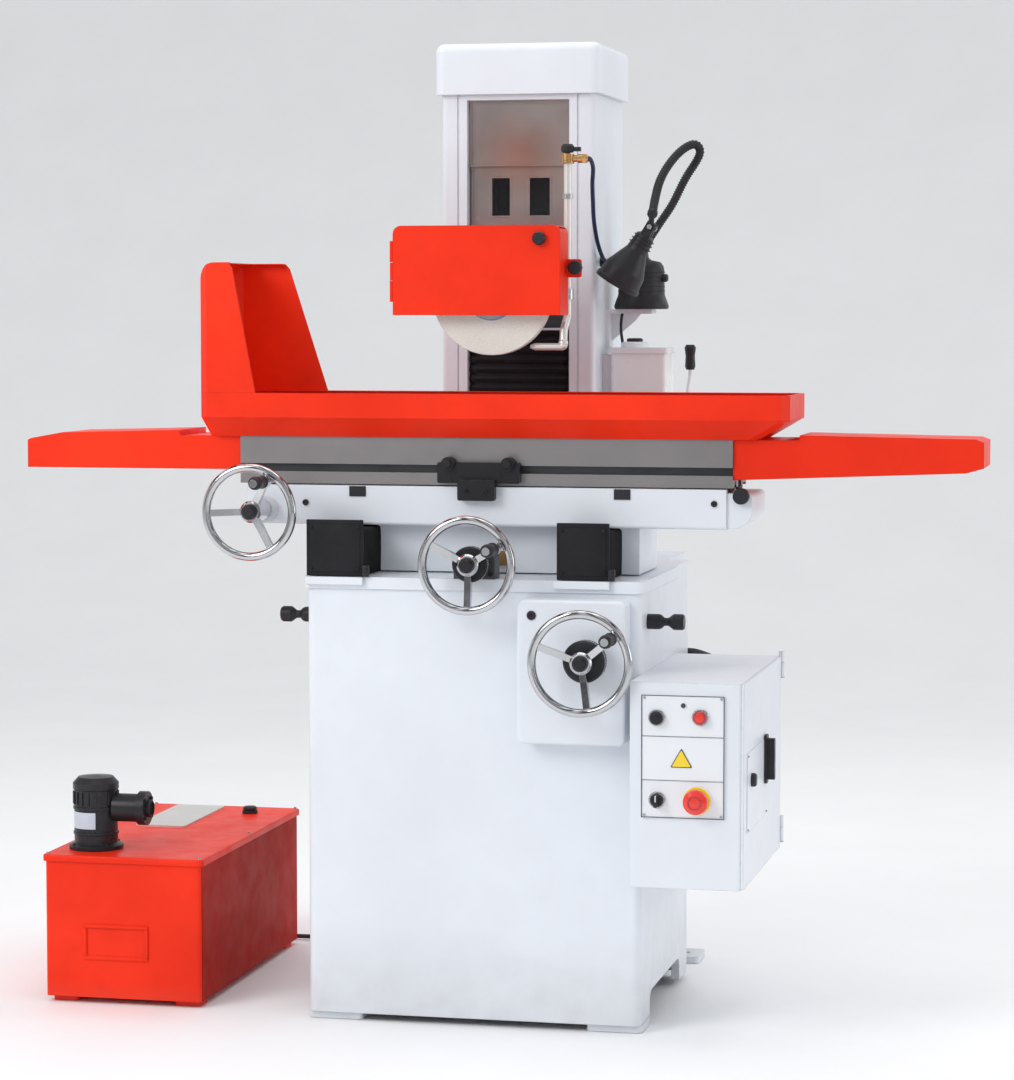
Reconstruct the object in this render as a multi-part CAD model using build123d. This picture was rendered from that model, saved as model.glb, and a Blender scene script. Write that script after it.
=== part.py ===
"""Surface grinder with hand feeds: base, column, cross saddle, sliding table, grinding head,
handwheel drives, coolant tank, electrical box, lamp and lubricator, in millimetres.

X runs to the operator's right, Y to the rear from the base front, Z up from the floor.
Each STEP file is shifted so that its origin is the centre of the base footprint."""
from build123d import *
from collections import namedtuple
import math
import os

os.makedirs("parts", exist_ok=True)

# ---------------------------------------------------------------- driving dimensions
RUN = 0.05                        # running clearance on sliding and turning faces
RUN_V = RUN * math.sqrt(2)        # the same clearance at the peak of a 45 degree V

# base
FOOT_DEPTH = 660.0
BASE_HALF_W, BASE_FRONT_DEPTH = 278.0, 468.0
PEDESTAL_HALF_W = 240.0           # narrower rear pedestal
BASE_TOP, BASE_WALL = 733.0, 14.0
BASE_CEILING = BASE_TOP - BASE_WALL
PAD_H = 12.0                      # levelling foot plates
ANCHOR_X, ANCHOR_R = 252.0, 7.0
STUD_X, STUD_R = 205.0, 8.0
FOOT_YS = (45.0, FOOT_DEPTH - 45.0)
LUG_Z0, LUG_Z1 = 40.0, 56.0       # lugs the levelling studs pass through
LEVEL_NUT_H = 12.0

# column
COL_HALF_W, COL_Y0, COL_Y1, COL_TOP = 134.0, 345.0, 602.0, 1535.0
COL_WALL = 14.0
OPEN_HALF_W, OPEN_Z0, OPEN_Z1 = 89.0, 885.0, 1524.0
CAP_HALF_W, CAP_Y0, CAP_Y1, CAP_TOP = 144.0, 334.0, 612.0, 1620.0
TONGUE_HALF_W, TONGUE_Y0, TONGUE_Y1 = 97.0, 385.0, 400.0   # head tongue in the column ways

# cross ways: V rail on the left, flat rail on the right
V_WAY_X, FLAT_WAY_X, WAY_HALF_W = -228.0, 184.0, 20.0
V_WAY_SHOULDER, V_WAY_PEAK, FLAT_WAY_TOP = 756.0, 776.0, 770.0

# saddle and its table ways: V ridge at the front, flat pad at the rear
SAD_X0, SAD_X1, SAD_Y0, SAD_Y1 = -400.0, 404.0, 70.0, 230.0
SAD_BEAM_Z0, SAD_TOP = 813.0, 878.0
APRON_X0, APRON_X1, APRON_Y0, APRON_Y1, APRON_Z0 = -285.0, 255.0, 110.0, 275.0, 735.0
RIDGE_Y, RIDGE_H = 105.0, 15.0    # the ridge is as high as its half width
TABLE_PAD_Y0, TABLE_PAD_Y1, TABLE_PAD_TOP = 185.0, 215.0, 884.0

# table
TAB_HALF_L, TAB_Y0, TAB_Y1, TAB_Z0, TAB_SHOULDER, TAB_TOP = 413.0, 75.0, 225.0, 880.0, 958.0, 985.0
PLATE_HALF_L, PLATE_Y0, PLATE_Y1 = 375.0, 80.0, 220.0      # raised work surface

# gears, belt and shaft axes
MODULE = 1.5
PINION_TEETH = MITER_TEETH = 20
PINION_R = MODULE * PINION_TEETH / 2
MITER_R = MODULE * MITER_TEETH / 2
HALF_TOOTH = 180 / MITER_TEETH    # degrees, turns a miter gear to mesh with its mate
SHAFT_R, CROSS_SCREW_R, LIFT_SCREW_R, LIFT_COLLAR_R = 8.0, 10.0, 11.0, 22.0
PINION_X, PINION_Z = -120.0, 845.0
DRIVE_X, DRIVE_Z = -369.0, 837.0  # table handwheel shaft
CROSS_X, CROSS_Z = 5.0, 759.0     # cross screw
FEED_X, FEED_Z = 200.0, 611.0     # vertical feed shaft
LIFT_Y = 563.0                    # elevating screw, on X = 0, and transverse shaft
COLLAR_Z0 = 680.0                 # seat of the elevating screw collar
BELT_PITCH, SMALL_TEETH, LARGE_TEETH = 5.0, 18, 30
SMALL_PULLEY_R = BELT_PITCH * SMALL_TEETH / (2 * math.pi)
LARGE_PULLEY_R = BELT_PITCH * LARGE_TEETH / (2 * math.pi)
PULLEY_Y0, PULLEY_Y1 = 86.0, 104.0

# handwheels: y is the rim plane, the hub reaches back to hub_back
Handwheel = namedtuple("Handwheel", "x y z diameter grip_angle grip_radius bore_r hub_back")
HANDWHEELS = {
    "table": Handwheel(DRIVE_X, -20.0, DRIVE_Z, 160.0, 62, 57, SHAFT_R, 50),
    "cross": Handwheel(CROSS_X, -60.0, CROSS_Z, 160.0, 31, 54, CROSS_SCREW_R, -40),
    "vertical": Handwheel(FEED_X, -110.0, FEED_Z, 170.0, 39, 66, SHAFT_R, -82),
}

# head
SPINDLE_Z = 1192.0
HEAD_BARREL_R = 55.0
WHEEL_R, WHEEL_W, WHEEL_BORE, WHEEL_Y = 100.0, 20.0, 31.75, 150.0
WHEEL_GUARD_Z0, WHEEL_GUARD_TOP = 1158.0, 1305.0
KNOB_X, KNOB_Z = 88.0, 1283.0     # knob of the wheel guard cover
HINGE_X = -163.5                  # hinge of the wheel guard cover
PIPE_X, PIPE_Y = 117.0, 196.0

# splash tray: plan rectangles (x0, x1, y0, y1) at its floor and above its fold
TRAY_Z0, TRAY_FOLD, TRAY_RIM = TAB_SHOULDER, 990.0, 1030.0
TRAY_FLOOR_PLAN = (-466, 454, 70, 245)
TRAY_WALL_PLAN = (-474, 508, 40, 245)

# lamp, lubricator, electrical box, coolant tank
LAMP_X, LAMP_Y, LAMP_BASE_Z = 192.0, 470.0, 1168.0
LAMP_PIVOT = (233, 330, 1306)
LUBE_Y = 440.0
ELEC_X0, ELEC_X1, ELEC_Y0, ELEC_Y1, ELEC_Z0, ELEC_Z1 = BASE_HALF_W, 455.0, -99.0, 331.0, 258.0, 584.0
DOOR_HINGE_X, DOOR_HINGE_Y, DOOR_HINGE_ZS = ELEC_X1 + 5, ELEC_Y1 + 1, (280, 560)
START_XZ, STOP_XZ, SELECTOR_XZ, EMERGENCY_XZ = (322, 529), (391, 531), (323, 399), (386, 399)
CONTROLS_XZ = (START_XZ, STOP_XZ, SELECTOR_XZ, EMERGENCY_XZ)
TANK_X0, TANK_X1, TANK_Y0, TANK_Y1, TANK_TOP = -752.0, -468.0, 25.0, 606.0, 240.0
PUMP_X, PUMP_Y = -685.0, 110.0


# ---------------------------------------------------------------- helpers
def block(x0, x1, y0, y1, z0, z1):
    return Pos((x0 + x1) / 2, (y0 + y1) / 2, (z0 + z1) / 2) * Box(x1 - x0, y1 - y0, z1 - z0)


def rod_x(x0, x1, y, z, radius):
    return Pos((x0 + x1) / 2, y, z) * Rot(0, 90, 0) * Cylinder(radius, x1 - x0)


def rod_y(y0, y1, x, z, radius):
    return Pos(x, (y0 + y1) / 2, z) * Rot(90, 0, 0) * Cylinder(radius, y1 - y0)


def rod_z(z0, z1, x, y, radius):
    return Pos(x, y, (z0 + z1) / 2) * Cylinder(radius, z1 - z0)


def face_of(points):
    return make_face(Polyline(*points, close=True))


def prism_x(x0, x1, points_yz):
    return extrude(face_of([(x0, y, z) for y, z in points_yz]), x1 - x0, dir=(1, 0, 0))


def prism_y(y0, y1, points_xz):
    return extrude(face_of([(x, y0, z) for x, z in points_xz]), y1 - y0, dir=(0, 1, 0))


def prism_z(z0, z1, points_xy):
    return extrude(face_of([(x, y, z0) for x, y in points_xy]), z1 - z0, dir=(0, 0, 1))


def loft_z(z0, points0, z1, points1):
    bottom = face_of([(x, y, z0) for x, y in points0])
    top = face_of([(x, y, z1) for x, y in points1])
    return loft([bottom, top], ruled=True)


# Turned pieces: the profile is (radius, distance along the axis from the start point).
def turn_x(x, y, z, profile):
    return Pos(x, y, z) * revolve(face_of([(a, r, 0) for r, a in profile]), Axis.X)


def turn_y(x, y, z, profile):
    return Pos(x, y, z) * revolve(face_of([(r, a, 0) for r, a in profile]), Axis.Y)


def turn_z(x, y, z, profile):
    return Pos(x, y, z) * revolve(face_of([(r, 0, a) for r, a in profile]), Axis.Z)


def soften(shape, axis, radius, pick=None):
    """Fillet the edges along axis (any direction if None) whose centre passes pick."""
    edges = shape.edges()
    if axis is not None:
        edges = edges.filter_by(axis)
    if pick:
        edges = [e for e in edges if pick(e.center())]
    return fillet(edges, radius)


def span(side, a, b):
    """Ascending ends of the X range a..b taken to the right (side 1) or the left (side -1)."""
    return sorted((side * a, side * b))


def save(name, result):
    """Write the solids of one shape, or of a list of shapes, to one STEP file."""
    shapes = result if isinstance(result, (list, tuple)) else [result]
    solids = [solid for shape in shapes for solid in shape.solids()]
    whole = Compound(children=solids) if len(solids) > 1 else solids[0]
    export_step(Pos(0, -FOOT_DEPTH / 2, 0) * whole, f"parts/{name}.step")


# ---------------------------------------------------------------- base
def base_casting():
    half, wall, depth = BASE_HALF_W, BASE_WALL, BASE_FRONT_DEPTH
    base = soften(block(-half, half, 0, depth, PAD_H, BASE_TOP), Axis.Z, 14)
    pedestal = block(-PEDESTAL_HALF_W, PEDESTAL_HALF_W, depth - 30, FOOT_DEPTH, PAD_H, BASE_TOP)
    base = base + soften(pedestal, Axis.Z, 12, lambda c: c.Y > depth)
    # hollow inside, open at the bottom
    base -= block(-half + wall, half - wall, wall, depth - wall, PAD_H - 1, BASE_CEILING)
    base -= block(-PEDESTAL_HALF_W + wall, PEDESTAL_HALF_W - wall,
                  depth - wall - 1, FOOT_DEPTH - wall, PAD_H - 1, BASE_CEILING)
    # raised band round the top edge
    band = soften(block(-half - 4, half + 4, -4, 340, BASE_TOP - 20, BASE_TOP), Axis.Z, 12)
    band -= block(-half + 20, half - 20, 20, 330, BASE_TOP - 21, BASE_TOP + 1)
    base += band
    # ledges under the front ends of the two way covers
    for x0, x1 in ((-277, -180), (136, 228)):
        base += block(x0, x1, -12, 4, BASE_TOP - 13, BASE_TOP)
    # arched cuts along the bottom of the sides
    for side in (-1, 1):
        arch = block(*span(side, 262, 290), 90, 380, 5, 52)
        base -= soften(arch, Axis.X, 20, lambda c: c.Z > 40)
    # clearance for the vertical feed shaft and the elevating screw
    base -= rod_y(-6, 20, FEED_X, FEED_Z, 14)
    base -= rod_z(BASE_TOP - 20, BASE_TOP + 1, 0, LIFT_Y, 32)
    # lugs inside the corners that stand on the levelling studs
    for side in (-1, 1):
        for outer_x, y0, y1 in ((264.5, 13.5, 84), (226.5, 574, 646.5)):
            base += block(*span(side, 186, outer_x), y0, y1, LUG_Z0, LUG_Z1)
        for y in FOOT_YS:
            base -= rod_z(LUG_Z0 - 1, LUG_Z1 + 1, side * STUD_X, y, STUD_R + 0.6)
    # holes through the front lugs above the anchor holes
    for side in (1, -1):
        base -= rod_z(LUG_Z0 - 1, LUG_Z1 + 1, side * ANCHOR_X, FOOT_YS[0], 10)
    return base


def levelling_pads():
    """Foot plates with an anchor hole, a stud and its nuts either side of the base lug."""
    pads = []
    for side in (-1, 1):
        for y in FOOT_YS:
            plate = soften(block(*span(side, 188, 280), y - 38, y + 38, 0, PAD_H), Axis.Z, 8)
            plate -= rod_z(-1, PAD_H + 1, side * ANCHOR_X, y, ANCHOR_R)
            plate = plate + rod_z(PAD_H, 84, side * STUD_X, y, STUD_R)
            for z in (LUG_Z0 - LEVEL_NUT_H, LUG_Z1):
                plate = plate + rod_z(z, z + LEVEL_NUT_H, side * STUD_X, y, 14)
            pads.append(plate)
    return pads


def lifting_bollards():
    y, z = 60, 664
    spool = [(0, 0), (12.5, 0), (12.5, 19), (11, 23), (6.5, 28), (6.5, 34), (11, 40),
             (13, 43), (13, 57), (11, 60), (0, 60)]
    right = turn_x(BASE_HALF_W, y, z, spool)
    left = Pos(-BASE_HALF_W, y, z) * Rot(0, 0, 180) * turn_x(0, 0, 0, spool)
    return right, left


def elevating_gearbox():
    """Pad on the base front that carries the vertical feed handwheel."""
    front_y = -45
    pad = soften(block(84, 260, front_y, 0, 473, 705), Axis.Y, 10)
    pad = soften(pad, None, 5, lambda c: abs(c.Y - front_y) < 0.1)
    pad += turn_y(FEED_X, -58, FEED_Z, [(0, 0), (26, 0), (30, 4), (30, 14), (0, 14)])
    pad -= rod_y(-60, 1, FEED_X, FEED_Z, SHAFT_R + RUN)
    return pad


def cross_ways():
    x0, x1 = V_WAY_X - WAY_HALF_W, V_WAY_X + WAY_HALF_W
    v_rail = prism_y(18, 340, [(x0, BASE_TOP), (x1, BASE_TOP), (x1, V_WAY_SHOULDER),
                               (V_WAY_X, V_WAY_PEAK), (x0, V_WAY_SHOULDER)])
    flat_rail = block(FLAT_WAY_X - WAY_HALF_W, FLAT_WAY_X + WAY_HALF_W, 18, 340,
                      BASE_TOP, FLAT_WAY_TOP)
    return v_rail, flat_rail


def bearing_blocks():
    # front block of the cross screw
    cross = block(CROSS_X - 34, CROSS_X + 34, -6, 30, BASE_TOP, 775)
    cross = soften(cross, Axis.Y, 8, lambda c: c.Z > 760)
    cross += rod_y(-22, -6, CROSS_X, CROSS_Z, 24)
    cross -= rod_y(-23, 31, CROSS_X, CROSS_Z, CROSS_SCREW_R + RUN)
    # rear block of the vertical feed shaft
    feed = block(FEED_X - 22, FEED_X + 22, 500, 526, FEED_Z - 22, BASE_CEILING)
    feed -= rod_y(499, 527, FEED_X, FEED_Z, SHAFT_R + RUN)
    # two blocks of the transverse shaft
    transverse = block(60, 86, LIFT_Y - 22, LIFT_Y + 22, FEED_Z - 22, BASE_CEILING)
    transverse += block(130, 156, LIFT_Y - 22, LIFT_Y + 22, FEED_Z - 22, BASE_CEILING)
    transverse -= rod_x(59, 157, LIFT_Y, FEED_Z, SHAFT_R + RUN)
    # thrust block of the elevating screw
    thrust = block(-60, 60, LIFT_Y - 40, LIFT_Y + 40, 655, BASE_CEILING)
    thrust -= rod_z(654, 720, 0, LIFT_Y, LIFT_SCREW_R + RUN)
    thrust -= rod_z(COLLAR_Z0, 720, 0, LIFT_Y, LIFT_COLLAR_R + RUN)
    return cross, feed, transverse, thrust


# ---------------------------------------------------------------- column
def column():
    inner_half = COL_HALF_W - COL_WALL
    body = soften(block(-COL_HALF_W, COL_HALF_W, COL_Y0, COL_Y1, BASE_TOP, COL_TOP), Axis.Z, 9)
    body -= block(-inner_half, inner_half, COL_Y0 + COL_WALL, COL_Y1 - COL_WALL,
                  BASE_TOP - 1, COL_TOP + 1)
    body -= block(-OPEN_HALF_W, OPEN_HALF_W, COL_Y0 - 1, COL_Y0 + COL_WALL + 1, OPEN_Z0, OPEN_Z1)
    # grooved rails behind the opening that guide the head
    for side in (-1, 1):
        rail = block(*span(side, OPEN_HALF_W, inner_half), COL_Y0 + COL_WALL, 430, 870, 1505)
        rail -= block(*span(side, OPEN_HALF_W - 1, TONGUE_HALF_W),
                      TONGUE_Y0 - RUN, TONGUE_Y1 + RUN, 869, 1506)
        body += rail
    # rear window
    body -= block(-92, 92, COL_Y1 - COL_WALL - 1, COL_Y1 + 1, 800, 1480)
    # narrow relief line beside the opening
    for side in (-1, 1):
        body -= block(*span(side, 103, 106), COL_Y0 - 1, COL_Y0 + 2, OPEN_Z0, COL_TOP)
    return body


def column_cap():
    cap = soften(block(-CAP_HALF_W, CAP_HALF_W, CAP_Y0, CAP_Y1, COL_TOP - 2, CAP_TOP), Axis.Z, 16)
    cap = soften(cap, None, 14, lambda c: c.Z > CAP_TOP - 0.5)
    # seat over the column top, then the hollow above it
    for grow, top in ((0.5, COL_TOP), (-2, CAP_TOP - 12)):
        cap -= block(-COL_HALF_W - grow, COL_HALF_W + grow, COL_Y0 - grow, COL_Y1 + grow,
                     COL_TOP - 3, top)
    return cap


def column_covers():
    rear = soften(block(-104, 104, COL_Y1, COL_Y1 + 3, 786, 1494), Axis.Y, 6)
    # fixed sheet over the ways at the top of the opening, with a folded lip
    sheet = block(-88, 88, 359, 361, 1414, 1534) + block(-88, 88, 351, 361, 1412, 1414)
    return rear, sheet


# ---------------------------------------------------------------- gears and pulleys
def pinion_outline(thinning=0.3, flank_steps=5):
    """Involute outline with a tooth on +X; thinning is taken off each tooth at pitch radius."""
    base_r = PINION_R * math.cos(math.radians(20))
    tip_r, root_r = PINION_R + MODULE, PINION_R - 1.25 * MODULE

    def involute(radius):
        pressure = math.acos(base_r / radius)
        return math.tan(pressure) - pressure

    def half_angle(radius):
        return half_at_pitch + involute(PINION_R) - involute(radius)

    half_at_pitch = (math.pi * MODULE / 2 - thinning) / (2 * PINION_R)
    radii = [base_r + (tip_r - base_r) * i / (flank_steps - 1) for i in range(flank_steps)]
    points = []
    for i in range(PINION_TEETH):
        centre = 2 * math.pi * i / PINION_TEETH
        row = [(root_r, centre - half_angle(base_r))]
        row += [(r, centre - half_angle(r)) for r in radii]
        row += [(r, centre + half_angle(r)) for r in reversed(radii)]
        row += [(root_r, centre + half_angle(base_r))]
        points += [(r * math.cos(a), r * math.sin(a)) for r, a in row]
    return points


def miter_gear(thinning=0.7, face_depth=5.0):
    """Straight miter gear, apex at the origin, teeth at positive Z, a tooth on +X."""
    cone = MITER_R * math.sqrt(2)
    tip = math.tan(math.radians(45) + math.atan(0.8 * MODULE / cone))
    root = math.tan(math.radians(45) - math.atan(1.08 * MODULE / cone))
    width = (math.pi * MODULE / 2 - thinning) / MITER_R
    root_half, tip_half = width * 1.45 / 2, width * 0.58 / 2
    outline = []                  # radius per unit of height, angle
    for i in range(MITER_TEETH):
        centre = 2 * math.pi * i / MITER_TEETH
        outline += [(root, centre - root_half), (tip, centre - tip_half),
                    (tip, centre + tip_half), (root, centre + root_half)]

    def ring(z):
        return [(z * q * math.cos(a), z * q * math.sin(a)) for q, a in outline]

    z0 = MITER_R - face_depth
    return loft_z(z0, ring(z0), MITER_R, ring(MITER_R))


def pulley(x, z, radius, teeth):
    wheel = rod_y(PULLEY_Y0, PULLEY_Y1, x, z, radius)
    for i in range(teeth):
        angle = 2 * math.pi * i / teeth
        wheel -= rod_y(PULLEY_Y0 - 1, PULLEY_Y1 + 1, x + radius * math.cos(angle),
                       z + radius * math.sin(angle), 1.3)
    return wheel


def belt_loop(grow, steps=20):
    """Smooth loop round both pulleys, grow outside their radii."""
    dx, dz = PINION_X - DRIVE_X, PINION_Z - DRIVE_Z
    line = math.atan2(dz, dx)
    offset = math.asin((LARGE_PULLEY_R - SMALL_PULLEY_R) / math.hypot(dx, dz))
    quarter = math.pi / 2
    arcs = ((DRIVE_X, DRIVE_Z, SMALL_PULLEY_R, line + quarter + offset, line + 3 * quarter - offset),
            (PINION_X, PINION_Z, LARGE_PULLEY_R, line - quarter - offset, line + quarter + offset))
    points = []
    for x, z, radius, start, end in arcs:
        for i in range(steps + 1):
            angle = start + (end - start) * i / steps
            points.append((x + (radius + grow) * math.cos(angle),
                           z + (radius + grow) * math.sin(angle)))
    return points


# ---------------------------------------------------------------- saddle
def saddle():
    body = block(SAD_X0, SAD_X1, SAD_Y0, SAD_Y1, SAD_BEAM_Z0, SAD_TOP)
    body = soften(body, Axis.X, 6, lambda c: c.Y < SAD_Y0 + 1 and c.Z < 820)
    body += block(APRON_X0, APRON_X1, APRON_Y0, APRON_Y1, APRON_Z0, SAD_BEAM_Z0 + 1)
    # rounded right end of the beam
    end = block(SAD_X1, 445, SAD_Y0 + 4, SAD_Y1 - 8, 815, 872)
    end = soften(end, Axis.Y, 30, lambda c: c.X > 440 and c.Z < 820)
    end = soften(end, Axis.Y, 8, lambda c: c.X > 440 and c.Z > 865)
    body += end
    # table ways, sunk a little into the beam
    y0, y1, sunk = RIDGE_Y - RIDGE_H, RIDGE_Y + RIDGE_H, SAD_TOP - 0.5
    body += prism_x(SAD_X0, SAD_X1, [(y0, sunk), (y0, SAD_TOP), (RIDGE_Y, SAD_TOP + RIDGE_H),
                                     (y1, SAD_TOP), (y1, sunk)])
    body += block(SAD_X0, SAD_X1, TABLE_PAD_Y0, TABLE_PAD_Y1, sunk, TABLE_PAD_TOP)
    # slot of the belt drive and channel of the rack and pinion
    body -= block(-398, -88, 80, 110, 816, 874)
    body -= block(SAD_X0 - 1, 320, 138, 172, 820, SAD_TOP + 1)
    # handwheel boss and shaft bores
    body += rod_y(52, SAD_Y0, DRIVE_X, DRIVE_Z, 22)
    body -= rod_y(51, 130, DRIVE_X, DRIVE_Z, SHAFT_R + RUN)
    body -= rod_y(109, 188, PINION_X, PINION_Z, SHAFT_R + RUN)
    # cross screw tunnel, and recesses that run on the cross ways
    y0, y1 = APRON_Y0 - 1, APRON_Y1 + 1
    body -= rod_y(y0, y1, CROSS_X, CROSS_Z, 20)
    half, shoulder = WAY_HALF_W + RUN, V_WAY_SHOULDER + RUN_V - RUN
    body -= prism_y(y0, y1, [(V_WAY_X - half, APRON_Z0 - 1), (V_WAY_X + half, APRON_Z0 - 1),
                             (V_WAY_X + half, shoulder), (V_WAY_X, V_WAY_PEAK + RUN_V),
                             (V_WAY_X - half, shoulder)])
    body -= block(FLAT_WAY_X - half, FLAT_WAY_X + half, y0, y1, APRON_Z0 - 1, FLAT_WAY_TOP + RUN)
    return body


def cross_nut():
    flange_y = 103
    nut = rod_y(flange_y, APRON_Y0, CROSS_X, CROSS_Z, 19.5)
    nut = nut + rod_y(APRON_Y0, 180, CROSS_X, CROSS_Z, 19)
    nut += block(CROSS_X - 34, CROSS_X + 34, flange_y, APRON_Y0, CROSS_Z - 12, CROSS_Z + 12)
    nut -= rod_y(flange_y - 1, 181, CROSS_X, CROSS_Z, CROSS_SCREW_R + RUN)
    return nut


def saddle_plugs():
    """Two plates and two discs on the beam front, and a knob in front of its right end."""
    y0 = SAD_Y0 - 1.6
    return [block(-224, -196, y0, SAD_Y0, 860, 877), block(220, 247, y0, SAD_Y0, 860, 877),
            rod_y(y0, SAD_Y0, -299, 849, 5), rod_y(y0, SAD_Y0, 384, 855, 5),
            turn_y(428, 60, 868, [(0, 0), (11, 0), (13, 2), (13, 14), (0, 14)])]


def drive_belt():
    return prism_y(87, 103, belt_loop(2.2)) - prism_y(86, 104, belt_loop(0.35))


# ---------------------------------------------------------------- table
def table():
    end = TAB_HALF_L + 1
    body = block(-TAB_HALF_L, TAB_HALF_L, TAB_Y0, TAB_Y1, TAB_Z0, TAB_SHOULDER)
    body += block(-PLATE_HALF_L, PLATE_HALF_L, PLATE_Y0, PLATE_Y1, TAB_SHOULDER - 1, TAB_TOP)
    # V recess, its faces parallel to the ridge and one running clearance away
    reach = RIDGE_H + RUN_V
    body -= prism_x(-end, end, [(RIDGE_Y - reach, SAD_TOP), (RIDGE_Y, SAD_TOP + reach),
                                (RIDGE_Y + reach, SAD_TOP)])
    body -= block(-end, end, TABLE_PAD_Y0 - RUN, TABLE_PAD_Y1 + RUN, TAB_Z0 - 1, TABLE_PAD_TOP + RUN)
    # rack channel
    body -= block(-end, end, 135, 170, TAB_Z0 - 1, 900)
    # T slot along the work surface and T groove along the front face
    slot_end = PLATE_HALF_L + 1
    body -= block(-slot_end, slot_end, 143, 157, 972, TAB_TOP + 1)
    body -= block(-slot_end, slot_end, 138, 162, 964, 973)
    body -= block(-end, end, TAB_Y0 - 1, 84, 900, 913)
    body -= block(-end, end, 83, 88, 896, 917)
    return body


def table_rack():
    """Rack under the table, teeth down, a tooth space above the pinion axis."""
    x0, x1, top, margin = -345.0, 105.0, 900, 3
    pitch = math.pi * MODULE
    phase = PINION_X - 0.5 * pitch
    first = int(math.ceil((x0 + margin - phase) / pitch))
    last = int(math.floor((x1 - margin - phase) / pitch))
    root_z = PINION_Z + PINION_R + 1.25 * MODULE
    tip_z = PINION_Z + PINION_R - MODULE
    half = (pitch / 2 - 0.3) / 2
    slope = math.tan(math.radians(20))
    root_half, tip_half = half + 1.25 * MODULE * slope, half - MODULE * slope
    outline = [(x0, top), (x0, root_z)]
    for i in range(first, last + 1):
        x = phase + i * pitch
        outline += [(x - root_half, root_z), (x - tip_half, tip_z),
                    (x + tip_half, tip_z), (x + root_half, root_z)]
    outline += [(x1, root_z), (x1, top)]
    return prism_y(143, 167, outline)


def stop_bracket():
    bracket = soften(block(-73, 65, 62, TAB_Y0, 884, 918), Axis.Y, 3)
    bracket = bracket + soften(block(-37, 25, 52, 66, 856, 890), Axis.Y, 4, lambda c: c.Z < 860)
    for x in (-54, 46):
        bracket += rod_y(56, TAB_Y0, x, 916, 11)
    return bracket


# ---------------------------------------------------------------- splash tray and guards
def tray_plan(rectangle, inset=0, chamfer=14):
    """Rectangle (x0, x1, y0, y1) moved in by inset, with its corners cut."""
    x0, x1, y0, y1 = rectangle
    x0, x1, y0, y1, c = x0 + inset, x1 - inset, y0 + inset, y1 - inset, chamfer
    return [(x0 + c, y0), (x1 - c, y0), (x1, y0 + c), (x1, y1 - c),
            (x1 - c, y1), (x0 + c, y1), (x0, y1 - c), (x0, y0 + c)]


def splash_tray():
    floor_plan, wall_plan = tray_plan(TRAY_FLOOR_PLAN), tray_plan(TRAY_WALL_PLAN)
    floor_inner = tray_plan(TRAY_FLOOR_PLAN, 2, 13.2)
    wall_inner = tray_plan(TRAY_WALL_PLAN, 2, 13.2)
    fold_in = TRAY_FOLD + 0.4
    tray = loft_z(TRAY_Z0, floor_plan, TRAY_FOLD, wall_plan) + prism_z(TRAY_FOLD, TRAY_RIM, wall_plan)
    tray -= (loft_z(TRAY_Z0 + 2, floor_inner, fold_in, wall_inner)
             + prism_z(fold_in, TRAY_RIM + 1, wall_inner))
    # opening round the raised work surface
    half = PLATE_HALF_L + 0.2
    tray -= block(-half, half, PLATE_Y0 - 0.2, PLATE_Y1 + 0.2, TRAY_Z0 - 1, TRAY_Z0 + 3)
    # inward rim all round the top
    tray += (prism_z(TRAY_RIM - 2, TRAY_RIM, wall_plan)
             - prism_z(TRAY_RIM - 3, TRAY_RIM + 1, tray_plan(TRAY_WALL_PLAN, 6, 11.6)))
    return tray


def left_splash_guard():
    """Tall guard at the left end: front, side, rear and top walls with slanted inner edges."""
    # plans as (x, y)
    outer = [(-460, 40), (-300, 40), (-300, 245), (-460, 245), (-474, 231), (-474, 54)]
    inner = [(-459.2, 42), (-290, 42), (-290, 243), (-459.2, 243), (-472, 230.2), (-472, 54.8)]

    def bent(radius, x0, top, steps=10):
        """Section (x, z) with its upper outer corner turned over on a radius."""
        arc = []
        for i in range(steps + 1):
            angle = math.pi / 2 * i / steps
            arc.append((x0 + radius - radius * math.cos(angle), top - radius + radius * math.sin(angle)))
        return [(x0, TRAY_RIM - 2)] + arc + [(-280, top), (-280, TRAY_RIM - 2)]

    low = TRAY_RIM - 1
    guard = prism_z(TRAY_RIM, 1246, outer) & prism_y(39, 246, bent(28, -474, 1245))
    guard -= prism_z(low, 1247, inner) & prism_y(38, 247, bent(26, -472, 1243))
    # slanted inner edges of the front half and the rear half, as (x, z)
    guard -= prism_y(30, 143, [(-376, low), (-415, 1235), (-421, 1244), (-424, 1250),
                               (-270, 1250), (-270, low)])
    guard -= prism_y(142, 250, [(-309, low), (-376, 1236), (-384, 1245), (-388, 1250),
                                (-270, 1250), (-270, low)])
    # opening in the top
    guard -= block(-440, -300, 52, 225, 1242, 1247)
    return guard


# side, outer section and inner section, both (x, z)
WING_SECTIONS = (
    (-1,
     [(-413, 902), (-790, 902), (-790, 948), (-784, 951), (-729, 961), (-474, 968), (-413, 968)],
     [(-412, 901), (-787, 901), (-787, 946), (-782, 948), (-729, 958), (-474, 957.9),
      (-412, 957.9)]),
    (1,
     [(413, 893), (785, 908), (813, 916), (813, 957), (800, 962), (470, 967), (413, 967)],
     [(412, 892), (785, 905), (810, 914), (810, 955), (799, 959), (470, 957.9), (412, 957.9)]),
)


def table_wings():
    """Box guards over the table ends."""
    wings = []
    for side, outer, inner in WING_SECTIONS:
        wing = prism_y(80, 220, outer) - prism_y(83, 217, inner)
        # the tray floor rests at shoulder level, so the wing tops stay under it
        wings.append(wing - block(*span(side, 400, 520), 60, 260, TRAY_Z0, 1100))
    return wings


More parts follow.
